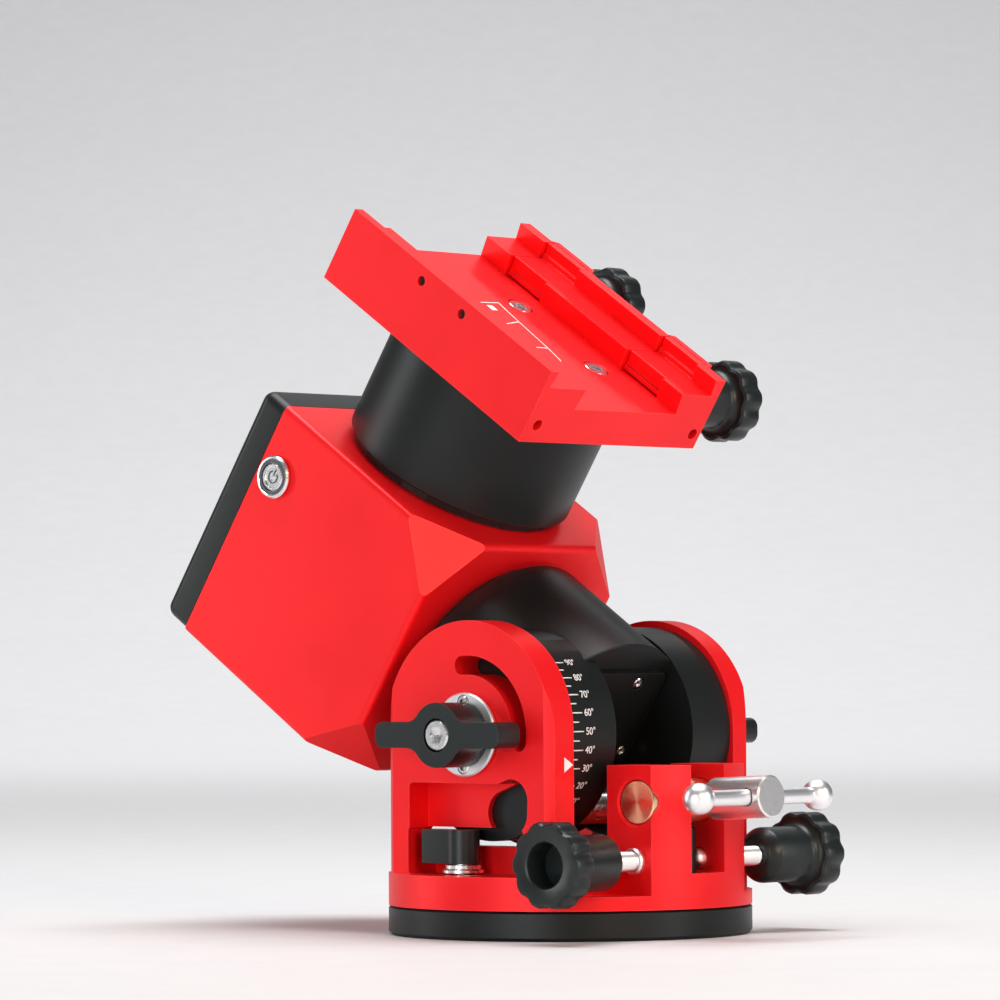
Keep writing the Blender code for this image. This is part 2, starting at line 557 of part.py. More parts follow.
def make_cover(parent):
    """The black rear cover with its sockets, and the control board behind them."""
    low, high = (COVER_BACK, -BLOCK_Y, -BLOCK_T), (BLOCK_BACK - GAP, BLOCK_Y, BLOCK_T)
    body = block_mesh(low, high)
    rear = [edge for edge in body.edges if min(vert.co.x for vert in edge.verts) < COVER_BACK + 1]
    bmesh.ops.bevel(body, geom=rear, offset=COVER_EDGE, segments=3, affect="EDGES")
    cover = solid("rear_cover", body, BLACK, parent)
    hollow = block_mesh((COVER_BACK + 3.2, -42.4, -40), (-120, 42.4, 40))
    boolean(cover, "DIFFERENCE", tool("cover_hollow", hollow, parent))
    sockets = {"power_socket": (-24.0, 8.0, 6.0), "handset_socket": (-6.0, 7.0, 6.0)}
    level, lip, back, front = -26.0, 1.4, COVER_BACK + 0.7, COVER_BACK + 7.2
    outside, inside = COVER_BACK - 5, COVER_BACK + 9.5
    for name, (y, half_y, half_t) in sockets.items():
        opening = block_mesh((outside, y - half_y, level - half_t), (inside, y + half_y, level + half_t))
        boolean(cover, "DIFFERENCE", tool(f"{name}_opening", opening, parent))
        half_y, half_t = half_y - GAP, half_t - GAP
        shell = block_mesh((back, y - half_y, level - half_t), (front, y + half_y, level + half_t))
        socket = solid(name, shell, PLASTIC, parent)
        half_y, half_t = half_y - lip, half_t - lip
        mouth = block_mesh((outside, y - half_y, level - half_t),
                           (front - 2, y + half_y, level + half_t))
        boolean(socket, "DIFFERENCE", tool(f"{name}_mouth", mouth, parent))
    board = block_mesh((front + 0.8, -27, -38), (front + 2.4, 38, 38))
    solid("control_board", board, BOARD, parent)


def make_head(parent):
    """The declination housing and the saddle with its bolts, about the declination axis."""
    low, roof = BLOCK_T + SEAM, 72.0
    housing = turned_mesh([(TUBE_BORE, low), (TUBE_R - 0.6, low), (TUBE_R, low + 0.6),
                           (TUBE_R, DEC_TOP), (0, DEC_TOP), (0, roof), (TUBE_BORE, roof)], FINE)
    solid("dec_housing", housing, BLACK, parent)
    outline = [(-SADDLE_Y, UNDER), (SADDLE_Y, UNDER), (SADDLE_Y, RIM), (38.6, RIM), (39.8, LEDGE),
               (JAW_Y, LEDGE), (JAW_Y + 1.2, FLOOR), (-24.2, FLOOR), (-23.0, LEDGE),
               (-41.0, LEDGE), (-39.8, RIM), (-SADDLE_Y, RIM)]
    saddle = prism_mesh(outline, -SADDLE_HALF, SADDLE_HALF, "YZ")
    saddle = solid("saddle", saddle, RED, parent)
    travel = 3.3
    for name, middle in JAWS.items():
        first, last, back = middle - JAW_HALF - GAP, middle + JAW_HALF + GAP, JAW_OUT + GAP
        wall = block_mesh((first, SADDLE_Y - 3, UNDER + 1), (last, SADDLE_WALL, RIM - 0.5))
        boolean(saddle, "UNION", tool(f"saddle_wall_{name}", wall, parent))
        pocket = block_mesh((first, JAW_Y - 4, FLOOR - 0.2), (last, back, RIM + 5))
        boolean(saddle, "DIFFERENCE", tool(f"saddle_pocket_{name}", pocket, parent))
        deep = block_mesh((first, JAW_FOOT - travel, JAW_BOTTOM - GAP), (last, back, FLOOR + 1))
        boolean(saddle, "DIFFERENCE", tool(f"saddle_deep_pocket_{name}", deep, parent))
    seat, head_r, shank_r = 96.0, 4.3, 2.5
    for i, (u, y) in enumerate(((-17.0, -14.0), (23.5, -14.0), (23.5, 14.0), (-17.0, 14.0))):
        place = (u, y, 0)
        hole = turned_mesh([(shank_r + GAP, UNDER - 2), (shank_r + GAP, seat),
                            (head_r + GAP, seat), (head_r + GAP, FLOOR + 5), (0, FLOOR + 5),
                            (0, UNDER - 2)], COARSE)
        boolean(saddle, "DIFFERENCE", tool(f"saddle_seat_{i + 1}", hole, parent, place))
        bolt = [(0, UNDER + GAP), (shank_r, UNDER + GAP), (shank_r, seat + GAP),
                (head_r, seat + GAP), (head_r, FLOOR - 0.5), (head_r - 0.4, FLOOR - 0.2),
                (2.4, FLOOR - 0.2, 0.2, 6), (2.4, FLOOR - 2.8, 0.2, 6), (0, FLOOR - 2.8)]
        solid(f"saddle_bolt_{i + 1}", turned_mesh(bolt, COARSE), SILVER, parent, place)
    return saddle


def make_jaws(saddle, parent):
    """The two clamping jaws of the saddle, each with its screw and knob."""
    outline = [(JAW_Y + 1.2 + JAW_SET, FLOOR + GAP), (JAW_FOOT, FLOOR + GAP),
               (JAW_FOOT, JAW_BOTTOM), (JAW_OUT, JAW_BOTTOM), (JAW_OUT, RIM - 0.5),
               (38.7 + JAW_SET, RIM - 0.5), (39.8 + JAW_SET, LEDGE), (JAW_Y + JAW_SET, LEDGE)]
    knob_y, knob_length, screw_r = SADDLE_WALL + 3.4, 29.0, 3.0
    for name, middle in JAWS.items():
        jaw = prism_mesh(outline, middle - JAW_HALF, middle + JAW_HALF, "YZ")
        solid(f"saddle_jaw_{name}", jaw, RED, parent)
        bore = rod_mesh(screw_r + GAP, JAW_OUT - 1, 60)
        place = (middle, 0, CLAMP_T)
        boolean(saddle, "DIFFERENCE", tool(f"saddle_bore_{name}", bore, parent, place, "Y"))
        tip, end = JAW_OUT + GAP, knob_y + 15.0
        screw = turned_mesh([(0, tip), (screw_r - 0.4, tip), (screw_r, tip + 0.4), (screw_r, end),
                             (0, end)], COARSE)
        solid(f"saddle_screw_{name}", screw, SILVER, parent, place, "Y")
        solid(f"saddle_knob_{name}", knob_mesh(knob_length), SLATE, parent,
              (middle, knob_y, CLAMP_T), "Y")


def build():
    """Clear the scene and build the mount."""
    for old in list(bpy.data.objects):
        bpy.data.objects.remove(old, do_unlink=True)
    axes = make_axes()
    make_base()
    make_yoke(axes["azimuth"])
    for side, sign, axis in (("near", -1, "-Y"), ("far", 1, "Y")):
        make_azimuth_lever(side)
        make_azimuth_screw(side, axis, sign, axes["azimuth"])
        make_pivot(side, axis, axes["azimuth"])
    make_latitude_screw(axes["handle"])
    make_altitude_body(axes["altitude"])
    make_drive("ra", axes["altitude"], axes["ra"], "X", BLOCK_FRONT, (22.0, -24.0))
    make_drive("dec", axes["dec"], axes["dec"], "Z", BLOCK_T, (-15.0, 24.0))
    make_block(axes["ra"])
    make_cover(axes["ra"])
    make_jaws(make_head(axes["dec"]), axes["dec"])


build()
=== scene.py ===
"""The looks of the strain-wave equatorial mount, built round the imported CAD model.
Shapes are made in millimetres in the local frame of the axis that they belong to, and are
placed by that frame's matrix. Heights and ends repeat the CAD's own dimensions."""

import json
import math

import bmesh
import bpy
from mathutils import Matrix, Vector


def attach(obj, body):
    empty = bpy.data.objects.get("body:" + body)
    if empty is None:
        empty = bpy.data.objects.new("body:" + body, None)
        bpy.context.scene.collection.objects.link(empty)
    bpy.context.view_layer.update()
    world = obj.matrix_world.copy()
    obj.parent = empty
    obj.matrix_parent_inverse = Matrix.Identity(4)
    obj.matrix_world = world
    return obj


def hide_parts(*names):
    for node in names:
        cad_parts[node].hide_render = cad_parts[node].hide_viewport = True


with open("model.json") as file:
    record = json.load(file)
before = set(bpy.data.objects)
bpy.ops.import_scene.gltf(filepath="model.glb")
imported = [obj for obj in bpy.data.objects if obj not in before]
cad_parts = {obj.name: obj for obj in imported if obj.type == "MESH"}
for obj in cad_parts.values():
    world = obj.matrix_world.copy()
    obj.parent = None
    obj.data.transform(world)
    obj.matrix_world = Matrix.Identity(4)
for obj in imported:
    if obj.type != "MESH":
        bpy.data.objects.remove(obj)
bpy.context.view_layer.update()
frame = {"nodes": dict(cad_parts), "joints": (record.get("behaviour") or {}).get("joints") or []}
JOINTS = {joint["name"]: joint for joint in frame["joints"]}
NODES = frame["nodes"]

# Driving dimensions, in millimetres and degrees, as in the CAD.
MM = 0.001
BASE_R, PUCK_TOP, DISC_BOTTOM, DISC_TOP, NOTCH_TOP = 60.0, 9.4, 9.7, 20.5, 14.3
PLATE_HALF, PLATE_ARC_Z, PLATE_OUT, NEAR_IN, FAR_IN = 36.0, 67.0, 50.0, 38.7, 41.2
PIVOT_Z, POINTER_Z = 66.0, 56.4
CHEEK_Y, CHEEK_TOP, CHEEK_BACK, SLOT_Y, SLOT_FLOOR = 23.3, 56.0, 36.6, 8.3, 21.0
SCREW_X, SCREW_Z, TRUNNION_X, TRUNNION_Z = 48.5, 25.3, 49.0, 44.2
STUD_X, STUD_Y = -7.0, {"near": -44.5, "far": 47.0}
FLANGE_SCREWS = (-10.3, 10.3)
NUT_PIN, NUT_PIN_R = (19.94, -15.52), 3.3
DRUM_R, DRUM_NEAR, DRUM_FAR = 34.8, (-38.4, -16.5), (22.0, 40.9)
TUBE_R, TUBE_BORE, TUBE_START, TUBE_END = 40.0, 34.0, -40.15, 8.0
BLOCK_FRONT, BLOCK_BACK, BLOCK_T, BLOCK_Y, COVER_BACK = -43.3, -130.7, 44.85, 47.2, -143.1
EDGE_CUT, CORNER_CUT, WALL, COVER_EDGE = 2.6, 20.7, 4.2, 4.0
BUTTON_U, BUTTON_T = -122.0, 22.2
DEC_U, DEC_LOW, DEC_TOP = -90.0, 48.0, 88.1
UNDER, FLOOR, LEDGE, RIM = 88.4, 101.3, 108.8, 114.8
SADDLE_HALF, SADDLE_Y, SADDLE_WALL, CLAMP_T = 52.3, 43.6, 46.8, 96.0
JAWS, JAW_HALF = {"front": 32.5, "rear": -30.0}, 9.2
JAW_Y, JAW_OUT, JAW_SET, JAW_FOOT, JAW_BOTTOM = 25.2, 44.0, 2.0, 34.0, 91.3
SADDLE_BOLTS = ((-17.0, -14.0), (23.5, -14.0), (23.5, 14.0), (-17.0, 14.0))
KNOB_R, KNOB_DISC, LOBE, LOBES = 13.6, 9.2, 0.5, 10
GAP = 0.3
FINE, ROUND, SMALL = 192, 96, 48
TILT = math.degrees(math.asin(-JOINTS["right_ascension"]["axis"][2]))
HANDLE_TILT = math.degrees(math.asin(JOINTS["latitude_screw_turn"]["axis"][2]))

# The photo's camera: place in metres, and a lens in millimetres.
CAMERA_TURN = math.radians(42.22)
CAMERA_RISE = math.radians(1.71)
CAMERA_ROLL = math.radians(-0.30)
CAMERA_AT = (1.1561, -1.3077, 0.0909)
LENS = 189.9

# Local frames: millimetres in, metres out.
WORLD = Matrix.Scale(MM, 4)


def joint_frame(name, tilt):
    """The frame at a joint, turned about Y by tilt degrees."""
    place = Matrix.Translation(Vector(JOINTS[name]["pos_m"]))
    return place @ Matrix.Rotation(math.radians(tilt), 4, "Y") @ WORLD


POLAR = joint_frame("altitude_tilt", TILT)
HEAD = POLAR @ Matrix.Translation((DEC_U, 0, 0))
HANDLE = joint_frame("trunnion_tilt", -HANDLE_TILT)
QUARTER = math.radians(90)
TURN = {"Z": Matrix(), "X": Matrix.Rotation(QUARTER, 4, "Y"), "-X": Matrix.Rotation(-QUARTER, 4, "Y"),
        "Y": Matrix.Rotation(-QUARTER, 4, "X"), "-Y": Matrix.Rotation(QUARTER, 4, "X")}


# ---------------------------------------------------------------- materials

def shader_of(name):
    """A new material, its node tree and its Principled shader."""
    made = bpy.data.materials.new(name)
    made.use_nodes = True
    return made, made.node_tree, made.node_tree.nodes["Principled BSDF"]


def noise(tree, scale, detail=3.0):
    """A noise texture on the piece's own coordinates."""
    coords = tree.nodes.new("ShaderNodeTexCoord")
    texture = tree.nodes.new("ShaderNodeTexNoise")
    texture.inputs["Scale"].default_value = scale
    texture.inputs["Detail"].default_value = detail
    tree.links.new(coords.outputs["Object"], texture.inputs["Vector"])
    return texture.outputs["Fac"]


def spread(tree, value, low, high, start=0.3, end=0.7):
    """Map a texture's value to a range."""
    node = tree.nodes.new("ShaderNodeMapRange")
    node.inputs["From Min"].default_value = start
    node.inputs["From Max"].default_value = end
    node.inputs["To Min"].default_value = low
    node.inputs["To Max"].default_value = high
    tree.links.new(value, node.inputs["Value"])
    return node.outputs["Result"]


def blend_colour(tree, factor, first, second):
    """Mix two colours by a factor."""
    node = tree.nodes.new("ShaderNodeMix")
    node.data_type = "RGBA"
    for socket, colour in ((node.inputs[6], first), (node.inputs[7], second)):
        if isinstance(colour, tuple):
            socket.default_value = (*colour, 1.0)
        else:
            tree.links.new(colour, socket)
    tree.links.new(factor, node.inputs["Factor"])
    return node.outputs[2]


def add_bump(tree, shader, value, strength, distance):
    """Bump the shader's surface by a value."""
    bump = tree.nodes.new("ShaderNodeBump")
    bump.inputs["Strength"].default_value = strength
    bump.inputs["Distance"].default_value = distance
    tree.links.new(value, bump.inputs["Height"])
    tree.links.new(bump.outputs["Normal"], shader.inputs["Normal"])


def worn_and_lit_edge(tree):
    """How near a point is to a sharp edge, broken up by noise: the mask of the lighter edges, which are
    partly rubbed wear and partly a painted highlight.
    """
    round_normal = tree.nodes.new("ShaderNodeBevel")
    round_normal.samples = 4
    round_normal.inputs["Radius"].default_value = 0.0006
    geometry = tree.nodes.new("ShaderNodeNewGeometry")
    dot = tree.nodes.new("ShaderNodeVectorMath")
    dot.operation = "DOT_PRODUCT"
    tree.links.new(round_normal.outputs["Normal"], dot.inputs[0])
    tree.links.new(geometry.outputs["Normal"], dot.inputs[1])
    near = spread(tree, dot.outputs["Value"], 0.5, 0, 0.86, 0.99)
    product = tree.nodes.new("ShaderNodeMath")
    product.operation = "MULTIPLY"
    tree.links.new(near, product.inputs[0])
    tree.links.new(spread(tree, noise(tree, 160, 3), 0.2, 1), product.inputs[1])
    return product.outputs[0]


def anodised(name, colour, deep, worn_and_lit, rough, metallic, specular=0.35):
    """Bead-blasted and dyed aluminium: fine grain, cloudy dye, and edges made lighter, partly as rubbed
    wear and partly as a painted highlight.
    """
    made, tree, shader = shader_of(name)
    cloud = spread(tree, noise(tree, 28, 2), 0, 1)
    dye = blend_colour(tree, cloud, colour, deep)
    # The edges get a lighter colour: rubbed wear, and also a painted highlight where light catches the
    # edges.
    tree.links.new(blend_colour(tree, worn_and_lit_edge(tree), dye, worn_and_lit), shader.inputs["Base Color"])
    grain = noise(tree, 5200, 2)
    tree.links.new(spread(tree, grain, rough - 0.05, rough + 0.06), shader.inputs["Roughness"])
    shader.inputs["Metallic"].default_value = metallic
    shader.inputs["Specular IOR Level"].default_value = specular
    add_bump(tree, shader, grain, 0.12, 0.00004)
    return made


def turned_metal(name, colour, dark, rough, scale, strength=0.1):
    """Machined metal with a fine grain in its colour, gloss and surface."""
    made, tree, shader = shader_of(name)
    grain = noise(tree, scale, 4)
    factor = spread(tree, grain, 0, 1)
    tree.links.new(blend_colour(tree, factor, colour, dark), shader.inputs["Base Color"])
    tree.links.new(spread(tree, grain, rough - 0.06, rough + 0.08), shader.inputs["Roughness"])
    shader.inputs["Metallic"].default_value = 1.0
    add_bump(tree, shader, grain, strength, 0.00002)
    return made


def moulded(name, colour, light, rough, scale=900, strength=0.15):
    """Moulded or printed stuff with a fine texture."""
    made, tree, shader = shader_of(name)
    texture = noise(tree, scale, 4)
    factor = spread(tree, texture, 0, 1)
    tree.links.new(blend_colour(tree, factor, colour, light), shader.inputs["Base Color"])
    tree.links.new(spread(tree, texture, rough - 0.05, rough + 0.08), shader.inputs["Roughness"])
    add_bump(tree, shader, texture, strength, 0.00005)
    return made


def faced_brass():
    """Brass faced on a lathe: fine rings round the pin's own axis, so its sheen runs radially."""
    made, tree, shader = shader_of("brass_faced")
    coords = tree.nodes.new("ShaderNodeTexCoord")
    rings = tree.nodes.new("ShaderNodeTexWave")
    rings.wave_type = "RINGS"
    rings.rings_direction = "Y"
    rings.inputs["Scale"].default_value = 900
    rings.inputs["Distortion"].default_value = 0.6
    shift = tree.nodes.new("ShaderNodeVectorMath")
    shift.operation = "SUBTRACT"
    shift.inputs[1].default_value = JOINTS["trunnion_tilt"]["pos_m"]
    tree.links.new(coords.outputs["Object"], shift.inputs[0])
    tree.links.new(shift.outputs["Vector"], rings.inputs["Vector"])
    cloud = spread(tree, noise(tree, 260, 2), 0, 1)
    tree.links.new(blend_colour(tree, cloud, (0.96, 0.70, 0.44), (0.88, 0.62, 0.38)),
                   shader.inputs["Base Color"])
    tree.links.new(spread(tree, rings.outputs["Fac"], 0.24, 0.36, 0, 1), shader.inputs["Roughness"])
    shader.inputs["Metallic"].default_value = 1.0
    shader.inputs["Anisotropic"].default_value = 0.85
    tangent = tree.nodes.new("ShaderNodeTangent")
    tangent.direction_type = "RADIAL"
    tangent.axis = "Y"
    tree.links.new(tangent.outputs["Tangent"], shader.inputs["Tangent"])
    add_bump(tree, shader, rings.outputs["Fac"], 0.2, 0.00002)
    return made


def make_materials():
    """Every material of the mount."""
    # The third colour of each anodised finish below is its lighter edge colour: rubbed wear and a painted
    # edge highlight.
    red_dye, deep_red, worn_and_lit_red = (0.93, 0.008, 0.012), (0.85, 0.005, 0.009), (1.0, 0.12, 0.11)
    return {
        "red": anodised("red_anodised_fine", red_dye, deep_red, worn_and_lit_red, 0.40, 0.35),
        "black": anodised("black_anodised_fine", (0.007, 0.010, 0.010), (0.005, 0.007, 0.007),
                          (0.05, 0.055, 0.056), 0.40, 0.15, 0.32),
        "slate": anodised("slate_anodised", (0.010, 0.015, 0.015), (0.007, 0.011, 0.011),
                          (0.07, 0.082, 0.082), 0.34, 0.15, 0.42),
        "silver": turned_metal("silver_turned", (0.90, 0.90, 0.91), (0.80, 0.80, 0.82), 0.24, 3000),
        "blasted": turned_metal("silver_blasted", (0.80, 0.81, 0.83), (0.72, 0.73, 0.75), 0.42, 4200),
        "silver_bar": turned_metal("silver_satin_bar", (0.96, 0.96, 0.97), (0.91, 0.91, 0.93),
                                   0.34, 5200, 0.04),
        "silver_grip": turned_metal("silver_satin_grip", (0.93, 0.92, 0.92), (0.88, 0.87, 0.87),
                                    0.30, 5200, 0.04),
        "brass": faced_brass(),
        "steel": turned_metal("steel_ground", (0.52, 0.52, 0.54), (0.44, 0.44, 0.46), 0.30, 3000),
        # Near-black: paints the shade deep in the small holes of the saddle's near wall.
        "dark": moulded("hole_shade_dark", (0.008, 0.008, 0.009), (0.014, 0.014, 0.015), 0.7),
        "print": moulded("white_print", (0.86, 0.86, 0.85), (0.78, 0.78, 0.77), 0.5, 2400, 0.05),
        "belt": moulded("belt_rubber_fine", (0.018, 0.018, 0.018), (0.03, 0.03, 0.03), 0.75),
        "board": moulded("board_mask", (0.015, 0.13, 0.05), (0.02, 0.17, 0.07), 0.35, 300, 0.05),
        "plastic": moulded("black_plastic_fine", (0.015, 0.015, 0.016), (0.025, 0.025, 0.026), 0.42),
        "ring": moulded("button_ring", (0.05, 0.06, 0.07), (0.07, 0.08, 0.09), 0.3),
    }


MATERIAL = make_materials()


# ---------------------------------------------------------------- shapes

def arc(centre, radius, first, last, steps):
    """Points on an arc, angles in degrees."""
    points = []
    for i in range(steps + 1):
        angle = math.radians(first + (last - first) * i / steps)
        points.append((centre[0] + radius * math.cos(angle), centre[1] + radius * math.sin(angle)))
    return points


def box_shape(low, high):
    """A box between two corners."""
    bm = bmesh.new()
    bmesh.ops.create_cube(bm, size=1.0)
    for vert in bm.verts:
        for i in range(3):
            vert.co[i] = high[i] if vert.co[i] > 0 else low[i]
    return bm


def turned(profile, segments=ROUND, rim=None):
    """A solid turned about Z from a closed outline of (radius, z) or (radius, z, share).
    rim(angle) is added to a ring's radius, times that ring's share."""
    bm = bmesh.new()
    rings = []
    for point in profile:
        radius, z = point[:2]
        share = point[2] if len(point) > 2 else 0.0
        if radius == 0:
            rings.append([bm.verts.new((0, 0, z))])
            continue
        ring = []
        for i in range(segments):
            angle = 2 * math.pi * i / segments
            r = radius + (share * rim(angle) if share else 0.0)
            ring.append(bm.verts.new((r * math.cos(angle), r * math.sin(angle), z)))
        rings.append(ring)
    for this, that in zip(rings, rings[1:] + rings[:1]):
        if len(this) == 1 and len(that) == 1:
            continue
        for i in range(segments):
            j = (i + 1) % segments
            if len(this) == 1:
                bm.faces.new((this[0], that[i], that[j]))
            elif len(that) == 1:
                bm.faces.new((this[i], this[j], that[0]))
            else:
                bm.faces.new((this[i], this[j], that[j], that[i]))
    return bm


def rod(radius, start, end, segments=ROUND, chamfer=0.0):
    """A rod along Z, chamfered at both ends."""
    outer = [(radius, start), (radius, end)]
    if chamfer:
        outer = [(radius - chamfer, start), (radius, start + chamfer), (radius, end - chamfer),
                 (radius - chamfer, end)]
    return turned(outer + [(0, end), (0, start)], segments)


def prism(outline, start, end, across="XZ"):
    """An outline extruded from start to end, square to the plane that across names."""
    bm = bmesh.new()
    place = {"XZ": lambda p, d: (p[0], d, p[1]), "YZ": lambda p, d: (d, p[0], p[1]),
             "XY": lambda p, d: (p[0], p[1], d)}[across]
    low = [bm.verts.new(place(point, start)) for point in outline]
    high = [bm.verts.new(place(point, end)) for point in outline]
    bm.faces.new(low)
    bm.faces.new(high)
    for i in range(len(outline)):
        j = (i + 1) % len(outline)
        bm.faces.new((low[i], low[j], high[j], high[i]))
    return bm


def placed(bm, at=(0, 0, 0), axis="Z"):
    """Turn a shape so that its own Z lies along axis, and then move it to a place."""
    bm.transform(Matrix.Translation(at) @ TURN[axis])
    return bm


def mesh_of(bm, name):
    """A mesh with its faces pointing out."""
    bmesh.ops.recalc_face_normals(bm, faces=bm.faces)
    mesh = bpy.data.meshes.new(name)
    bm.to_mesh(mesh)
    bm.free()
    return mesh


def carved(bm, steps):
    """The shape after each (operation, other shape), with flat faces merged again."""
    target = bpy.data.objects.new("carve_target", mesh_of(bm, "carve_target"))
    bpy.context.scene.collection.objects.link(target)
    tools = []
    for i, (operation, other) in enumerate(steps):
        tool = bpy.data.objects.new(f"carve_{i}", mesh_of(other, f"carve_{i}"))
        bpy.context.scene.collection.objects.link(tool)
        tools.append(tool)
        modifier = target.modifiers.new(f"carve_{i}", "BOOLEAN")
        modifier.operation = operation
        modifier.object = tool
        modifier.solver = "MANIFOLD"
    depsgraph = bpy.context.evaluated_depsgraph_get()
    result = bmesh.new()
    result.from_mesh(target.evaluated_get(depsgraph).to_mesh())
    for item in [target] + tools:
        mesh = item.data
        bpy.data.objects.remove(item)
        bpy.data.meshes.remove(mesh)
    bmesh.ops.remove_doubles(result, verts=result.verts, dist=0.0005)
    bmesh.ops.dissolve_limit(result, angle_limit=math.radians(0.6), verts=result.verts,
                             edges=result.edges)
    return result


def joined(shapes):
    """Several shapes as one mesh."""
    whole = bmesh.new()
    for bm in shapes:
        mesh = mesh_of(bm, "part")
        whole.from_mesh(mesh)
        bpy.data.meshes.remove(mesh)
    return whole


def piece(name, bm, local, look, body, bevel=0.0, replaces=(), sharp=32, segments=2):
    """A finished piece: placed by its frame's matrix, bevelled, and riding on its body."""
    mesh = mesh_of(bm, name)
    mesh.transform(local)
    mesh.materials.append(MATERIAL[look])
    mesh.shade_smooth()
    mesh.set_sharp_from_angle(angle=math.radians(sharp))
    made = bpy.data.objects.new(name, mesh)
    bpy.context.scene.collection.objects.link(made)
    if bevel:
        modifier = made.modifiers.new("edges", "BEVEL")
        modifier.width = bevel * MM
        modifier.segments = segments
        modifier.limit_method = "ANGLE"
        modifier.angle_limit = math.radians(30)
        modifier.harden_normals = True
        modifier.use_clamp_overlap = True
    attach(made, body)
    if replaces:
        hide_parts(*replaces)
    return made


def scallop(angle):
    """The waved rim of a hand knob: broad lobes between narrower hollows."""
    hollow = (1 - math.cos(LOBES * angle)) / 2
    return LOBE * (1 - 2 * hollow ** 1.6)


def hexagon(across_flats, low, high):
    """A hexagonal prism along Z."""
    return turned([(across_flats / math.sqrt(3), low), (across_flats / math.sqrt(3), high),
                   (0, high), (0, low)], 6)


def cap_screw(head_r, height, shank_r=0.0, length=0.0):
    """A socket-head screw along Z: its head stands on z = 0 and its shank runs down."""
    profile = [(head_r, 0), (head_r, height - 0.5), (head_r - 0.5, height), (0, height)]
    if shank_r:
        profile += [(0, -length), (shank_r - 0.4, -length), (shank_r, 0.4 - length), (shank_r, 0)]
    else:
        profile += [(0, 0)]
    socket = hexagon(head_r * 1.05, height * 0.45, height + 1)
    return carved(turned(profile, SMALL), [("DIFFERENCE", socket)])


# ---------------------------------------------------------------- base and yoke

def make_base():
    """The puck with its turned edge, and what stands in it."""
    profile = [(9.3, 0), (BASE_R - 1.2, 0), (BASE_R, 1.2), (BASE_R, PUCK_TOP - 0.6),
               (BASE_R - 0.6, PUCK_TOP), (9.3, PUCK_TOP)]
    piece("puck", turned(profile, FINE), WORLD, "black", "base", replaces=["base_puck"])
    for side, y in STUD_Y.items():
        low = DISC_TOP + GAP
        lower = [(3.3, low), (6.5, low), (6.8, low + 0.3), (6.8, low + 1.1), (6.5, low + 1.4),
                 (3.3, low + 1.4)]
        upper = [(3.3, low + 1.5), (5.7, low + 1.5), (5.9, low + 1.7), (5.9, low + 2.7),
                 (5.7, low + 2.9), (3.3, low + 2.9)]
        washers = joined([turned(lower, ROUND), turned(upper, ROUND)])
        piece(f"washers_{side}", placed(washers, (STUD_X, y, 0)), WORLD, "silver", "base",
              replaces=[f"clamp_washer_{side}"])


def make_azimuth_lever(side):
    """The clamp lever inside a side window."""
    hub_r, end, half, corner = 5.4, -16.2, 3.6, 1.6
    outline = arc((0, 0), hub_r, -140, 140, 40)
    outline += arc((end + corner, half - corner), corner, 90, 180, 8)
    outline += arc((end + corner, corner - half), corner, 180, 270, 8)
    body = prism(outline, 24.0, 35.0, "XY")
    body = carved(body, [("DIFFERENCE", rod(3.3, 20, 34, SMALL))])
    piece(f"azimuth_clamp_{side}", placed(body, (STUD_X, STUD_Y[side], 0)), WORLD, "slate",
          f"azimuth_lever_{side}", 0.7, [f"azimuth_lever_{side}"], segments=3)


def mirrored_box(low, high, sign):
    """A box given for the far side, mirrored to the near side when sign is -1."""
    y = sorted((sign * low[1], sign * high[1]))
    return box_shape((low[0], y[0], low[2]), (high[0], y[1], high[2]))


def rounded_rectangle(low, high, radius):
    """The outline of a rectangle with round corners."""
    x0, z0, x1, z1 = low[0] + radius, low[1] + radius, high[0] - radius, high[1] - radius
    return (arc((x1, z1), radius, 0, 90, 8) + arc((x0, z1), radius, 90, 180, 8)
            + arc((x0, z0), radius, 180, 270, 8) + arc((x1, z0), radius, 270, 360, 8))


def arc_slot():
    """The curved slot round the pivot, with round ends."""
    centre, radius, half, first, last = (0, PIVOT_Z), 22.5, 3.1, -6, 96
    low = arc(centre, radius, first, first, 1)[0]
    high = arc(centre, radius, last, last, 1)[0]
    outline = arc(centre, radius + half, first, last, 48)
    outline += arc(high, half, last, last + 180, 16)[1:-1]
    outline += arc(centre, radius - half, last, first, 48)
    return outline + arc(low, half, first + 180, first + 360, 16)[1:-1]


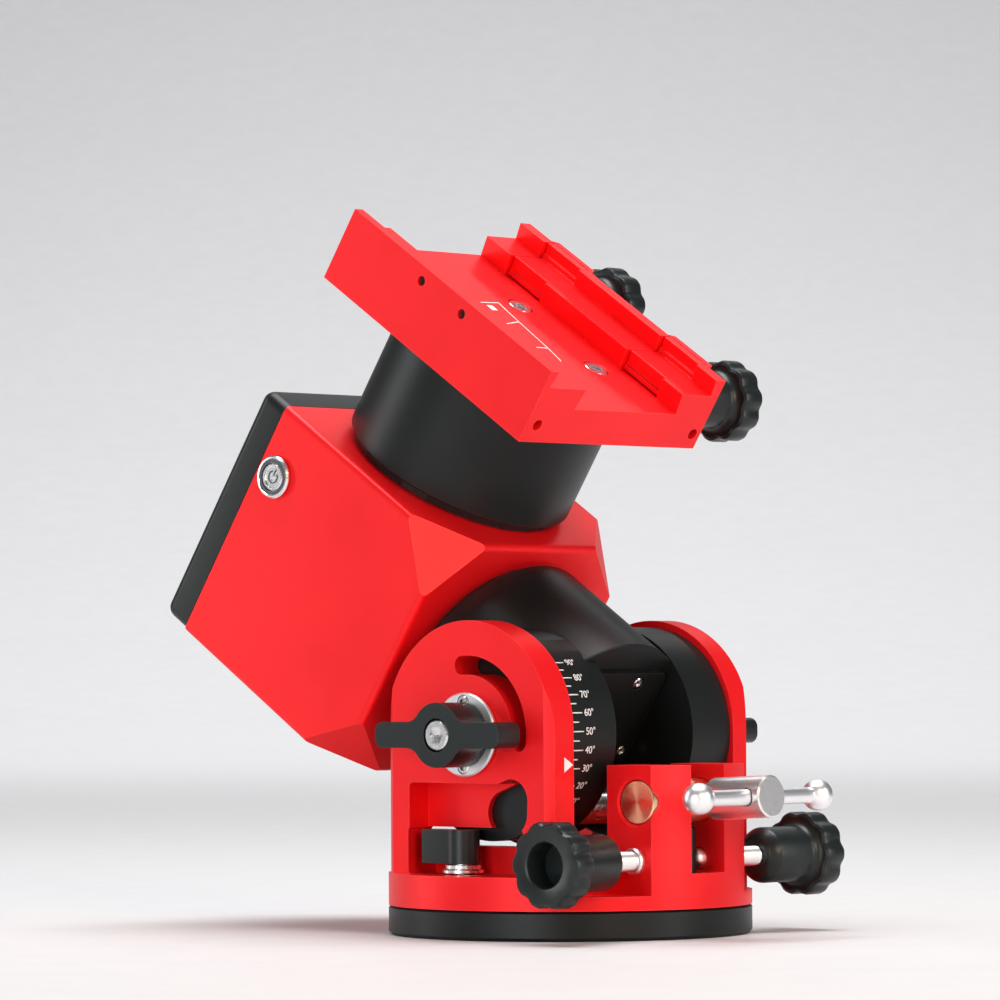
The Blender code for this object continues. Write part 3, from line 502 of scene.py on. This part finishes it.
def make_yoke():
    """The yoke cut from one billet: disc, side plates and split front block."""
    beyond, top, rough = 70, PLATE_ARC_Z + PLATE_HALF + 5, 0.1
    plate = [(-PLATE_HALF, DISC_TOP - 2), (PLATE_HALF, DISC_TOP - 2)]
    plate += arc((0, PLATE_ARC_Z), PLATE_HALF, 0, 180, 96)
    window = arc((18.9, 44.6), 7.2, 0, 110, 24) + arc((7.8, 40.5), 7.2, 110, 270, 32)
    window += arc((18.7, 40.7), 7.2, 270, 360, 20)[:-1]
    steps = [("UNION", box_shape((CHEEK_BACK, -CHEEK_Y - rough, DISC_TOP - 3),
                                 (BASE_R + 2, CHEEK_Y + rough, CHEEK_TOP)))]
    cuts = []
    for side, sign, inner in (("near", -1, NEAR_IN), ("far", 1, FAR_IN)):
        steps.append(("UNION", prism(plate, *sorted((sign * inner, sign * (BASE_R + 3))))))
        steps.append(("UNION", mirrored_box((-34, 31, DISC_TOP - 2), (34, inner + 2, 29.5), sign)))
        outward = sorted((sign * 30, sign * beyond))
        pocket = rounded_rectangle((-25.8, 32.0), (14, 50.3), 1.6)
        low_window = rounded_rectangle((-26.4, DISC_TOP), (24, 35.7), 1.2)
        cuts += [
            mirrored_box((-beyond, PLATE_OUT, DISC_TOP), (beyond, beyond, top), sign),
            mirrored_box((PLATE_HALF, CHEEK_Y, NOTCH_TOP), (beyond + 1, beyond + 1, top + 1), sign),
            prism(pocket, *sorted((sign * (inner + 2.1), sign * (beyond + 3)))),
            prism(low_window, *sorted((sign * 36.5, sign * (beyond + 2)))),
            prism(window, *outward),
            prism(arc_slot(), *outward),
            box_shape((STUD_X - 6.6, STUD_Y[side] - 3.9, 5), (STUD_X + 6.6, STUD_Y[side] + 3.9, 25)),
        ]
    cuts += [
        box_shape((-beyond, -beyond, 17.0), (-43.8, beyond, top)),
        box_shape((30, -SLOT_Y, SLOT_FLOOR), (beyond, SLOT_Y, top)),
        box_shape((SCREW_X - 6.3, 0.5 - SLOT_Y, 5), (SCREW_X + 6.3, SLOT_Y - 0.5, SLOT_FLOOR + 5)),
        rod(9.5, 5, 30, ROUND),
        placed(rod(8.4, -beyond, beyond, ROUND), (0, 0, PIVOT_Z), "Y"),
        placed(rod(7.3, -30, 30, ROUND), (TRUNNION_X, 0, TRUNNION_Z), "Y"),
        placed(rod(8.0, -30, 0.5 - CHEEK_Y, ROUND), (TRUNNION_X, 0, TRUNNION_Z), "Y"),
        placed(rod(8.0, CHEEK_Y - 0.5, 30, ROUND), (TRUNNION_X, 0, TRUNNION_Z), "Y"),
        placed(rod(3.6, -30, 30, SMALL), (SCREW_X, 0, SCREW_Z), "Y"),
    ]
    steps.append(("INTERSECT", rod(BASE_R, 5, top, FINE)))
    steps += [("DIFFERENCE", shape) for shape in cuts]
    body = carved(rod(BASE_R + 2, DISC_BOTTOM, DISC_TOP, FINE), steps)
    piece("yoke_body", body, WORLD, "red", "yoke", 0.6, ["yoke"], segments=3)
    tip = [(-NEAR_IN - 0.4, POINTER_Z), (-NEAR_IN - 4.6, POINTER_Z + 2.4),
           (-NEAR_IN - 4.6, POINTER_Z - 2.4)]
    piece("pointer", prism(tip, PLATE_HALF, PLATE_HALF + 0.05, "YZ"), WORLD, "print", "yoke")


def hand_knob(length):
    """A scalloped knob along Z, its neck towards z = 0 and its hollow at the far end."""
    disc = length - KNOB_DISC
    hollow = length - 9
    profile = [(3.6, 0), (5.6, 0), (6.3, 0.3), (8.8, 2.7), (9.2, 3.6), (9.2, disc - 2.6),
               (9.5, disc - 1.4), (10.4, disc - 0.5), (11.4, disc), (12.3, disc, 0.9),
               (13.2, disc + 0.6, 1), (KNOB_R, disc + 1.7, 1), (KNOB_R, length - 1.6, 1),
               (13.3, length - 0.6, 1), (12.6, length, 1), (8.4, length), (7.6, length - 0.4),
               (7.2, length - 1.2), (7.2, hollow), (0, hollow), (0, 16), (3.6, 16)]
    return turned(profile, 240, scallop)


def make_azimuth_screw(side, sign, axis):
    """An azimuth screw with a bright domed end, and its knob."""
    tip, neck, end, grip_length = 4.8, 37.0, 51.5, 30.5
    profile = [(0, tip), (1.4, tip + 0.2), (2.5, tip + 0.9), (3.3, tip + 2.2), (3.3, 25.6),
               (3.15, 26.0)]
    threads = 18
    for i in range(threads):
        z = 26.4 + i * 0.6
        profile += [(3.3, z), (3.05, z + 0.3)]
    profile += [(3.3, end - 0.5), (2.8, end), (0, end)]
    piece(f"azimuth_rod_{side}", placed(turned(profile, SMALL), (SCREW_X, 0, SCREW_Z), axis), WORLD,
          "silver_bar", f"azimuth_screw_{side}", replaces=[f"azimuth_screw_{side}"])
    wall = CHEEK_Y + 0.15
    collar = [(3.45, wall), (4.3, wall), (4.3, wall + 1.3), (3.9, wall + 1.8), (3.45, wall + 1.8)]
    piece(f"azimuth_collar_{side}", placed(turned(collar, ROUND), (SCREW_X, 0, SCREW_Z), axis), WORLD,
          "silver_bar", "yoke")
    knob = placed(hand_knob(grip_length), (SCREW_X, sign * neck, SCREW_Z), axis)
    piece(f"azimuth_grip_{side}", knob, WORLD, "slate", f"azimuth_knob_{side}",
          replaces=[f"azimuth_knob_{side}"])


def wing_outline():
    """A wing lever seen along its axis: two arms that flow into the hub."""
    hub_r, half, fillet, end, corner = 10.5, 4.2, 6.0, 27.0, 3.2
    centre = (math.sqrt((hub_r + fillet) ** 2 - (half + fillet) ** 2), half + fillet)
    meet = math.degrees(math.atan2(centre[1], centre[0]))
    quarter = arc((end - corner, half - corner), corner, 0, 90, 10)
    quarter += arc(centre, fillet, 270, 180 + meet, 12)
    quarter += arc((0, 0), hub_r, meet, 90, 12)[1:]
    upper = quarter + [(-x, y) for x, y in reversed(quarter[:-1])]
    return upper + [(-x, -y) for x, y in upper]


def make_pivot(side, sign, axis):
    """The flange of the altitude pin with its two screws, the wing lever and its screw."""
    face = PLATE_OUT + GAP
    at = (0, 0, PIVOT_Z)
    profile = [(3.4, face - 20), (8.1, face - 20), (8.1, face), (13.3, face), (13.6, face + 0.3),
               (13.6, face + 1.1), (13.1, face + 1.6), (3.4, face + 1.6)]
    holes = [("DIFFERENCE", placed(rod(2.6, face + 0.7, face + 4, SMALL), (0, dy, 0)))
             for dy in FLANGE_SCREWS]
    piece(f"flange_{side}", placed(carved(turned(profile, ROUND), holes), at, axis), WORLD, "blasted",
          "yoke", replaces=[f"pivot_flange_{side}"])
    small = joined([placed(cap_screw(2.4, 1.2), (0, dy, face + 0.75)) for dy in FLANGE_SCREWS])
    piece(f"flange_screws_{side}", placed(small, at, axis), WORLD, "silver", "yoke")
    back, front, head = face + 2.2, face + 14.6, face + 9.7
    hub = [(10.5, back), (10.5, front - 1.5), (0, front - 1.5), (0, back)]
    wing = carved(turned(hub, ROUND), [
        ("UNION", prism(wing_outline(), back + 2.0, front, "XY")),
        ("DIFFERENCE", turned([(3.3, back - 1), (3.3, head - GAP), (5.5, head - GAP),
                               (5.5, front + 1), (0, front + 1), (0, back - 1)], ROUND)),
    ])
    piece(f"wing_{side}", placed(wing, at, axis), WORLD, "slate", f"wing_{side}", 0.9,
          [f"wing_lever_{side}"], segments=3)
    screw = placed(cap_screw(5.0, front - head, 3.0, 36), (0, 0, head))
    piece(f"wing_bolt_{side}", placed(screw, at, axis), WORLD, "silver", f"wing_{side}",
          replaces=[f"wing_screw_{side}"])


def make_latitude_screw():
    """The brass trunnion, and the latitude screw with its grip and sliding crossbar."""
    screw_way = placed(rod(4.3, -12, 12, SMALL), axis="X")
    pin = carved(rod(7.1, -23.0, 23.0, ROUND, 0.4), [("DIFFERENCE", screw_way)])
    piece("trunnion_pin", placed(pin, axis="Y"), HANDLE, "brass", "trunnion",
          replaces=["trunnion"])
    grip, end, grip_r, bar_at = 13.6, 37.2, 6.8, 31.8
    profile = [(0, -68.0), (3.2, -68.0), (4.0, -67.2)]
    pitch, turns = 1.25, 60
    for i in range(turns):
        z = -67 + i * pitch
        profile += [(4.0, z + 0.2), (3.5, z + pitch * 0.6)]
    profile += [(4.0, 10.6), (4.9, 10.6), (4.9, grip), (grip_r - 0.7, grip), (grip_r, grip + 0.7),
                (grip_r, end - 0.5), (grip_r - 0.5, end), (0, end)]
    cross = placed(rod(2.95, -12, 12, SMALL), (bar_at, 0, 0), "Y")
    screw = carved(placed(turned(profile, ROUND), axis="X"), [("DIFFERENCE", cross)])
    piece("latitude_rod", screw, HANDLE, "silver_grip", "latitude_screw",
          replaces=["latitude_screw"])
    reach, ball_r, bar_r = 29.8, 5.1, 2.6
    neck = 180 - math.degrees(math.asin(bar_r / ball_r))
    half = [(0, reach + ball_r)]
    steps = 14
    for i in range(1, steps + 1):
        a = math.radians(neck * i / steps)
        half.append((ball_r * math.sin(a), reach + ball_r * math.cos(a)))
    bar = turned(half + [(r, -z) for r, z in reversed(half)], ROUND)
    piece("crossbar", placed(bar, (bar_at, 0, 0), "Y"), HANDLE, "silver_bar", "latitude_screw")


# ---------------------------------------------------------------- altitude body

def on_drum(bm, radius, centre_y, angle, flip=1):
    """Wrap a flat shape (x across, y up) round the drum at an angle from the vertical."""
    for vert in bm.verts:
        x, y, z = vert.co
        turn = angle - y / radius
        vert.co = ((radius + z) * math.sin(turn), centre_y + flip * x, (radius + z) * math.cos(turn))
    return bm


def number_shape(text, height):
    """The outline of a number as a thin solid, centred."""
    curve = bpy.data.curves.new("number", "FONT")
    curve.body = text
    curve.size = height
    curve.extrude = 0.04
    curve.align_x = "LEFT"
    curve.align_y = "CENTER"
    holder = bpy.data.objects.new("number", curve)
    bpy.context.scene.collection.objects.link(holder)
    depsgraph = bpy.context.evaluated_depsgraph_get()
    bm = bmesh.new()
    bm.from_mesh(holder.evaluated_get(depsgraph).to_mesh())
    bpy.data.objects.remove(holder)
    bpy.data.curves.remove(curve)
    return bm


def make_scale():
    """The latitude scale on the near drum: a tick each 5 degrees, a number each 10."""
    shapes = []
    pointer = math.degrees(math.atan2(PLATE_HALF, POINTER_Z - PIVOT_Z))
    skin = DRUM_R + 0.06
    edge = DRUM_NEAR[0] + 0.8
    for value in range(0, 95, 5):
        angle = math.radians(pointer - value)
        long_tick = value % 10 == 0
        length = 5.2 if long_tick else 3.2
        tick = box_shape((0, -0.2, -0.06), (length, 0.2, 0.02))
        shapes.append(on_drum(tick, skin, edge, angle))
        if long_tick:
            shapes.append(on_drum(number_shape(f"{value}\u00b0", 3.4), skin, edge + 6.2, angle))
    piece("latitude_scale", joined(shapes), POLAR, "print", "altitude", sharp=180)


def make_altitude_body():
    """The right ascension tube between its two drums, with the end cover and its screws."""
    flat = box_shape((-37.4, -60, -60), (30, DRUM_NEAR[0] + 0.05, 60))
    steps = [("DIFFERENCE", flat)]
    for side, (low, high) in (("near", DRUM_NEAR), ("far", DRUM_FAR)):
        steps.append(("UNION", placed(rod(DRUM_R, low, high, FINE), axis="Y")))
        lug = sorted(math.copysign(value, low) for value in (8.4, 12.5))
        ear = arc(NUT_PIN, 6.5, -90, 90, 24) + [(TUBE_END - 1, -9.0), (TUBE_END - 1, -22.0)]
        steps.append(("UNION", prism(ear, *lug)))
    cuts = [placed(rod(NUT_PIN_R, -15, 15, SMALL), (NUT_PIN[0], 0, NUT_PIN[1]), "Y"),
            placed(rod(TUBE_BORE, TUBE_START - 2, -15, ROUND), axis="X"),
            box_shape((-17, -8.2, -50), (TUBE_END + 1, 8.2, -6)),
            placed(rod(8.4, -45, -28, SMALL), axis="Y"),
            placed(rod(8.4, 28, 50, SMALL), axis="Y"),
            placed(rod(3.3, -45, -22, SMALL), axis="Y"),
            placed(rod(3.3, 22.5, 50, SMALL), axis="Y")]
    steps += [("DIFFERENCE", shape) for shape in cuts]
    tube = placed(rod(TUBE_R, TUBE_START, TUBE_END, FINE, 0.4), axis="X")
    piece("altitude_housing", carved(tube, steps), POLAR, "black", "altitude", 0.35,
          ["altitude_body"])
    plate = prism(rounded_rectangle((-15.6, -5), (21.0, 30), 3), TUBE_END + GAP, TUBE_END + 2.2, "YZ")
    spots = [(8.6, 26.0), (-11.5, 26.0), (-11.5, -1.0), (17.0, -1.0)]
    seats = [("DIFFERENCE", placed(rod(2.4, TUBE_END + 1.2, TUBE_END + 4, SMALL), (0, y, t), "X"))
             for y, t in spots]
    piece("end_cover", carved(plate, seats), POLAR, "black", "altitude", 0.3, ["tube_end_cover"])
    heads = joined([placed(cap_screw(2.1, 0.9), (TUBE_END + 1.25, y, t), "X") for y, t in spots])
    piece("end_cover_screws", heads, POLAR, "silver", "altitude")
    make_scale()


# ---------------------------------------------------------------- block

def make_block():
    """The red block with bevelled edges and its four front corners cut off."""
    body = box_shape((BLOCK_BACK, -BLOCK_Y, -BLOCK_T), (BLOCK_FRONT, BLOCK_Y, BLOCK_T))
    middle = (BLOCK_FRONT + BLOCK_BACK) / 2
    edges = [edge for edge in body.edges if max(vert.co.x for vert in edge.verts) > middle]
    bmesh.ops.bevel(body, geom=edges, offset=EDGE_CUT, segments=5, profile=0.6, affect="EDGES")
    for y in (-1, 1):
        for t in (-1, 1):
            point = (BLOCK_FRONT - CORNER_CUT, y * BLOCK_Y, t * BLOCK_T)
            whole = body.verts[:] + body.edges[:] + body.faces[:]
            cut = bmesh.ops.bisect_plane(body, geom=whole, plane_co=point, plane_no=(1, y, t),
                                         clear_outer=True)
            rim = [item for item in cut["geom_cut"] if isinstance(item, bmesh.types.BMEdge)]
            bmesh.ops.contextual_create(body, geom=rim)
    steps = [
        box_shape((BLOCK_BACK - 5, WALL - BLOCK_Y, WALL - BLOCK_T), (-62, BLOCK_Y - WALL, BLOCK_T - WALL)),
        box_shape((-70, -33, -31), (-48, 33, 31)),
        placed(rod(22, 0, 20, ROUND), (-54, 0, 0), "X"),
        placed(rod(22, 0, 20, ROUND), (DEC_U, 0, 35), "Z"),
        placed(rod(6.2, 0, 20, SMALL), (BUTTON_U, -BLOCK_Y - 5, BUTTON_T), "Y"),
    ]
    body = carved(body, [("DIFFERENCE", shape) for shape in steps])
    piece("block_body", body, POLAR, "red", "right_ascension", 0.4, ["block_shell"])


def make_cover():
    """The black rear cover with its sockets and four corner screws."""
    low, high = (COVER_BACK, -BLOCK_Y, -BLOCK_T), (BLOCK_BACK - GAP, BLOCK_Y, BLOCK_T)
    body = box_shape(low, high)
    rear = [edge for edge in body.edges if min(vert.co.x for vert in edge.verts) < COVER_BACK + 1]
    bmesh.ops.bevel(body, geom=rear, offset=COVER_EDGE, segments=8, profile=0.5, affect="EDGES")
    sockets = {"power_socket": (-24.0, 8.0, 6.0), "handset_socket": (-6.0, 7.0, 6.0)}
    level, outside = -26.0, COVER_BACK - 5
    cuts = [box_shape((COVER_BACK + 3.2, -42.4, -40), (-120, 42.4, 40))]
    for y, half_y, half_t in sockets.values():
        outline = rounded_rectangle((y - half_y, level - half_t), (y + half_y, level + half_t), 1)
        cuts.append(prism(outline, outside, COVER_BACK + 9.5, "YZ"))
    spots = [(y, t) for y in (-41.5, 41.5) for t in (-39.0, 39.0)]
    cuts += [placed(rod(3.0, outside, COVER_BACK + 1.6, SMALL), (0, y, t), "X") for y, t in spots]
    groove = prism(rounded_rectangle((-38, -33), (38, 36), 4), outside, COVER_BACK + 0.5, "YZ")
    island = prism(rounded_rectangle((-37.2, -32.2), (37.2, 35.2), 3.4), outside - 1, COVER_BACK + 2, "YZ")
    cuts.append(carved(groove, [("DIFFERENCE", island)]))
    body = carved(body, [("DIFFERENCE", shape) for shape in cuts])
    piece("cover_body", body, POLAR, "black", "right_ascension", 0, ["rear_cover"], sharp=40)
    heads = joined([placed(cap_screw(2.7, 1.4), (COVER_BACK + 1.65, y, t), "-X") for y, t in spots])
    piece("cover_screws", heads, POLAR, "silver", "right_ascension")
    for name, (y, half_y, half_t) in sockets.items():
        half_y, half_t = half_y - GAP, half_t - GAP
        shell = prism(rounded_rectangle((y - half_y, level - half_t), (y + half_y, level + half_t), 0.8),
                      COVER_BACK + 0.7, COVER_BACK + 7.2, "YZ")
        mouth = prism(rounded_rectangle((y - half_y + 1.4, level - half_t + 1.4),
                                        (y + half_y - 1.4, level + half_t - 1.4), 0.6),
                      outside, COVER_BACK + 5.2, "YZ")
        piece(f"{name}_shell", carved(shell, [("DIFFERENCE", mouth)]), POLAR, "plastic",
              "right_ascension", 0.15, [name])


def make_button():
    """The push button: a bezel, a dark ring and a plunger with the power symbol on its cap."""
    at = (BUTTON_U, -BLOCK_Y, BUTTON_T)
    bezel = [(4.9, 12), (5.9, 12), (5.9, -0.3), (7.1, -0.3), (7.25, -0.5), (7.25, -1.1), (6.7, -1.75),
             (6.3, -1.8), (6.1, -1.5), (4.9, -1.5)]
    piece("button_bezel", placed(turned(bezel, ROUND), at, "Y"), POLAR, "silver", "right_ascension",
          replaces=["power_button_bezel"])
    cap = [(0, -1.25), (0.9, -1.25), (1.0, -1.15), (3.4, -1.15), (3.6, -1.3), (3.7, -1.6), (4.3, -1.6),
           (4.6, -1.3), (4.6, 8), (0, 8)]
    piece("button_cap", placed(turned(cap, ROUND), at, "Y"), POLAR, "silver", "power_button",
          replaces=["power_button"])
    stroke, out = 0.22, -1.3
    mark = arc((0, 0), 2.0 + stroke, -55, 235, 32) + arc((0, 0), 2.0 - stroke, 235, -55, 32)
    bar = rounded_rectangle((-stroke, -2.9), (stroke, -0.5), 0.15)
    shapes = [prism(mark, out, -1.1, "XY"), prism(bar, out, -1.1, "XY")]
    piece("button_mark", placed(joined(shapes), at, "Y"), POLAR, "ring", "power_button")
    ring = [(5.0, -1.62), (6.0, -1.62), (6.0, -1.45), (5.0, -1.45)]
    piece("button_light", placed(turned(ring, ROUND), at, "Y"), POLAR, "ring", "right_ascension")


# ---------------------------------------------------------------- head

def make_head():
    """The declination tube and the saddle with its bolts, holes and printed guide."""
    profile = [(TUBE_BORE, DEC_LOW), (TUBE_R - 0.6, DEC_LOW), (TUBE_R, DEC_LOW + 0.6),
               (TUBE_R, DEC_TOP - 0.5), (TUBE_R - 0.5, DEC_TOP), (0, DEC_TOP), (0, 72),
               (TUBE_BORE, 72)]
    piece("dec_tube", turned(profile, FINE), HEAD, "black", "declination", replaces=["dec_housing"])
    outline = [(-SADDLE_Y, UNDER), (SADDLE_Y, UNDER), (SADDLE_Y, RIM), (38.6, RIM), (39.8, LEDGE),
               (JAW_Y, LEDGE), (JAW_Y + 1.2, FLOOR), (-24.2, FLOOR), (-23.0, LEDGE), (-41.0, LEDGE),
               (-39.8, RIM), (-SADDLE_Y, RIM)]
    steps, grubs = [], []
    for middle in JAWS.values():
        first, last, back = middle - JAW_HALF - GAP, middle + JAW_HALF + GAP, JAW_OUT + GAP
        steps += [
            ("UNION", prism([(first - 1.5, SADDLE_Y - 0.5), (first, SADDLE_WALL), (last, SADDLE_WALL),
                             (last + 1.5, SADDLE_Y - 0.5)], UNDER + 1, RIM - 0.02, "XY")),
            ("DIFFERENCE", box_shape((first, JAW_Y - 4, FLOOR - 0.2), (last, back, RIM + 5))),
            ("DIFFERENCE", box_shape((first, JAW_FOOT - 3.3, JAW_BOTTOM - GAP), (last, back, FLOOR + 1))),
            ("DIFFERENCE", placed(rod(3.3, JAW_OUT - 1, 60, SMALL), (middle, 0, CLAMP_T), "Y")),
        ]
    for u, y in SADDLE_BOLTS:
        hole = turned([(2.8, UNDER - 2), (2.8, 96), (4.7, 96), (4.7, FLOOR + 5), (0, FLOOR + 5),
                       (0, UNDER - 2)], SMALL)
        steps.append(("DIFFERENCE", placed(hole, (u, y, 0))))
    for u, t in ((-13.2, 110.0), (8.1, 110.0)):
        steps.append(("DIFFERENCE", placed(rod(1.7, -50, -41.4, SMALL), (u, 0, t), "Y")))
        grub = [(1.55, -42.2), (1.55, -41.5), (0, -41.5), (0, -42.0), (0.8, -42.0), (0.8, -42.2)]
        grubs.append(placed(turned(grub, SMALL), (u, 0, t), "Y"))
    inner, outer = SADDLE_HALF - 9, SADDLE_HALF + 5
    for y, t in ((-38.4, 94.8), (39.8, 93.9)):
        for start, end in ((inner, outer), (-outer, -inner)):
            steps.append(("DIFFERENCE", placed(rod(2.0, start, end, SMALL), (0, y, t), "X")))
    body = carved(prism(outline, -SADDLE_HALF, SADDLE_HALF, "YZ"), steps)
    piece("saddle_body", body, HEAD, "red", "declination", 0.45, ["saddle"])
    # The grub screws at the bottom of the near wall's holes are near-black, which paints the shade in those
    # holes.
    piece("saddle_grub_screws", joined(grubs), HEAD, "dark", "declination")
    for i, (u, y) in enumerate(SADDLE_BOLTS):
        screw = cap_screw(4.3, 4.8, 2.5, 7.6)
        piece(f"saddle_socket_screw_{i + 1}", placed(screw, (u, y, 96.3)), HEAD, "silver", "declination",
              replaces=[f"saddle_bolt_{i + 1}"])
    make_guide_print()
    lip, set_back = 0.7, JAW_SET
    jaw = [(JAW_Y + 1.2 + set_back - lip, FLOOR + GAP), (JAW_FOOT, FLOOR + GAP), (JAW_FOOT, JAW_BOTTOM),
           (JAW_OUT + 0.1, JAW_BOTTOM), (JAW_OUT + 0.1, RIM - 0.1), (38.7 + set_back, RIM - 0.1),
           (39.4 + set_back, LEDGE + 2.0), (39.4 + set_back - lip, LEDGE + 1.7),
           (39.4 + set_back - lip, LEDGE), (JAW_Y + set_back, LEDGE), (JAW_Y + 0.9 + set_back, FLOOR + 2.3),
           (JAW_Y + 1.2 + set_back - lip, FLOOR + 2.0)]
    knob_y, length = SADDLE_WALL + 3.4, 29.0
    for name, middle in JAWS.items():
        bar = prism(jaw, middle - JAW_HALF, middle + JAW_HALF, "YZ")
        piece(f"jaw_{name}", bar, HEAD, "red", f"saddle_jaw_{name}", 0.3, [f"saddle_jaw_{name}"])
        place = (middle, 0, CLAMP_T)
        shank = rod(3.0, JAW_OUT + GAP, knob_y + 15.0, SMALL, 0.4)
        piece(f"saddle_rod_{name}", placed(shank, place, "Y"), HEAD, "silver_bar",
              f"saddle_screw_{name}", replaces=[f"saddle_screw_{name}"])
        knob = placed(hand_knob(length), (middle, knob_y, CLAMP_T), "Y")
        piece(f"saddle_grip_{name}", knob, HEAD, "slate", f"saddle_knob_{name}",
              replaces=[f"saddle_knob_{name}"])


def make_guide_print():
    """A plain printed guide on the saddle's floor: a bracket line with ticks and a pad."""
    low, high, half = FLOOR, FLOOR + 0.04, 0.2
    line = [(-18.0, 3.8), (-5.4, 2.3), (11.9, 0.8), (20.4, -0.7)]
    strokes = list(zip(line, line[1:])) + [(line[1], (-3.6, -5.3)), (line[2], (11.6, -4.8)),
                                           (line[0], (-17.6, -5.4))]
    shapes = []
    for (x0, y0), (x1, y1) in strokes:
        length = math.hypot(x1 - x0, y1 - y0)
        dx, dy = half * (y1 - y0) / length, half * (x0 - x1) / length
        corners = [(x0 + dx, y0 + dy), (x1 + dx, y1 + dy), (x1 - dx, y1 - dy), (x0 - dx, y0 - dy)]
        shapes.append(prism(corners, low, high, "XY"))
    shapes.append(box_shape((-15.8, -4.2, low), (-12.6, -1.4, high)))
    piece("guide_print", joined(shapes), HEAD, "print", "declination")


# ---------------------------------------------------------------- carried-over nodes, stage

KEPT = {
    "steel": ["tripod_bush", "clamp_stud_near", "clamp_stud_far", "ra_circular_spline", "ra_flexspline",
              "ra_wave_generator", "dec_circular_spline", "dec_flexspline", "dec_wave_generator"],
    "silver": ["ra_pulley", "dec_pulley", "ra_motor_pulley", "dec_motor_pulley"],
    "brass": ["latitude_nut"], "belt": ["ra_belt", "dec_belt"], "board": ["control_board"],
    # ra_bearing and dec_bearing take the black finish, which paints the shade in the seams at the two
    # tubes.
    "black": ["ra_motor", "dec_motor", "ra_bearing", "dec_bearing", "azimuth_post"],
}


def finish_nodes():
    """The looks of the CAD nodes that stay."""
    for look, names in KEPT.items():
        for name in names:
            data = NODES[name].data
            data.materials.clear()
            data.materials.append(MATERIAL[look])


def make_stage():
    """A pale floor that curves up into a backdrop."""
    width, front, back, rise, bend = 12.0, 3.0, 3.0, 9.0, 5.0
    profile = [(-front, 0.0)] + [(back + bend * math.sin(a), bend - bend * math.cos(a))
                                 for a in [QUARTER * i / 16 for i in range(17)]]
    profile.append((back + bend, rise))
    bm = bmesh.new()
    sides = [[bm.verts.new((x, d, z)) for d, z in profile] for x in (-width, width)]
    for i in range(len(profile) - 1):
        bm.faces.new((sides[0][i], sides[1][i], sides[1][i + 1], sides[0][i + 1]))
    mesh = bpy.data.meshes.new("sweep")
    bm.to_mesh(mesh)
    bm.free()
    mesh.shade_smooth()
    made, tree, shader = shader_of("pale_floor")
    paper = spread(tree, noise(tree, 40, 3), 0, 1)
    tree.links.new(blend_colour(tree, paper, (0.64, 0.64, 0.65), (0.62, 0.62, 0.63)),
                   shader.inputs["Base Color"])
    shader.inputs["Roughness"].default_value = 0.6
    mesh.materials.append(made)
    floor = bpy.data.objects.new("sweep", mesh)
    floor.rotation_euler = (0, 0, CAMERA_TURN)
    bpy.context.scene.collection.objects.link(floor)


def add_light(name, at, target, size, power, colour=(1, 1, 1)):
    """A rectangular soft light that faces a point."""
    light = bpy.data.lights.new(name, "AREA")
    light.shape = "RECTANGLE"
    light.size, light.size_y = size
    light.energy = power
    light.color = colour
    holder = bpy.data.objects.new(name, light)
    holder.location = at
    facing = Vector(target) - Vector(at)
    holder.rotation_euler = facing.to_track_quat("-Z", "Y").to_euler()
    bpy.context.scene.collection.objects.link(holder)


def make_lights():
    """A broad key from the left of the camera, side, top and warm lights, and one for the backdrop."""
    aim = (-0.03, 0, 0.12)
    add_light("key", (0.35, -1.7, 0.30), aim, (0.8, 0.7), 11)
    add_light("left", (-1.5, -0.9, 0.6), aim, (0.4, 1.2), 8)
    add_light("top", (-0.1, 0.1, 1.6), aim, (1.2, 0.8), 30)
    add_light("right", (1.5, 0.5, 0.5), aim, (0.4, 1.0), 8)
    add_light("warm", (1.42, -0.58, 0.62), aim, (0.55, 0.55), 11, (1.0, 0.72, 0.52))
    add_light("floor_wash", (-2.2, 2.4, 2.6), (-3.0, 3.4, 0.6), (3.0, 3.0), 115)
    world = bpy.data.worlds.new("studio")
    world.use_nodes = True
    world.node_tree.nodes["Background"].inputs["Color"].default_value = (0.90, 0.92, 0.96, 1)
    world.node_tree.nodes["Background"].inputs["Strength"].default_value = 0.16
    bpy.context.scene.world = world
    bpy.context.scene.view_settings.view_transform = "Standard"


def make_camera():
    """The camera, a little above the floor and looking slightly up."""
    data = bpy.data.cameras.new("camera")
    data.lens = LENS
    data.clip_end = 50
    camera = bpy.data.objects.new("camera", data)
    camera.location = CAMERA_AT
    look = Matrix.Rotation(CAMERA_TURN, 4, "Z") @ Matrix.Rotation(QUARTER + CAMERA_RISE, 4, "X")
    camera.rotation_euler = (look @ Matrix.Rotation(CAMERA_ROLL, 4, "Z")).to_euler()
    bpy.context.scene.collection.objects.link(camera)
    bpy.context.scene.camera = camera


def build():
    """Every piece, then the stage."""
    make_base()
    make_yoke()
    for side, sign, axis in (("near", -1, "-Y"), ("far", 1, "Y")):
        make_azimuth_lever(side)
        make_azimuth_screw(side, sign, axis)
        make_pivot(side, sign, axis)
    make_latitude_screw()
    make_altitude_body()
    make_block()
    make_cover()
    make_button()
    make_head()
    finish_nodes()
    make_stage()
    make_lights()
    make_camera()


build()
bpy.context.view_layer.update()
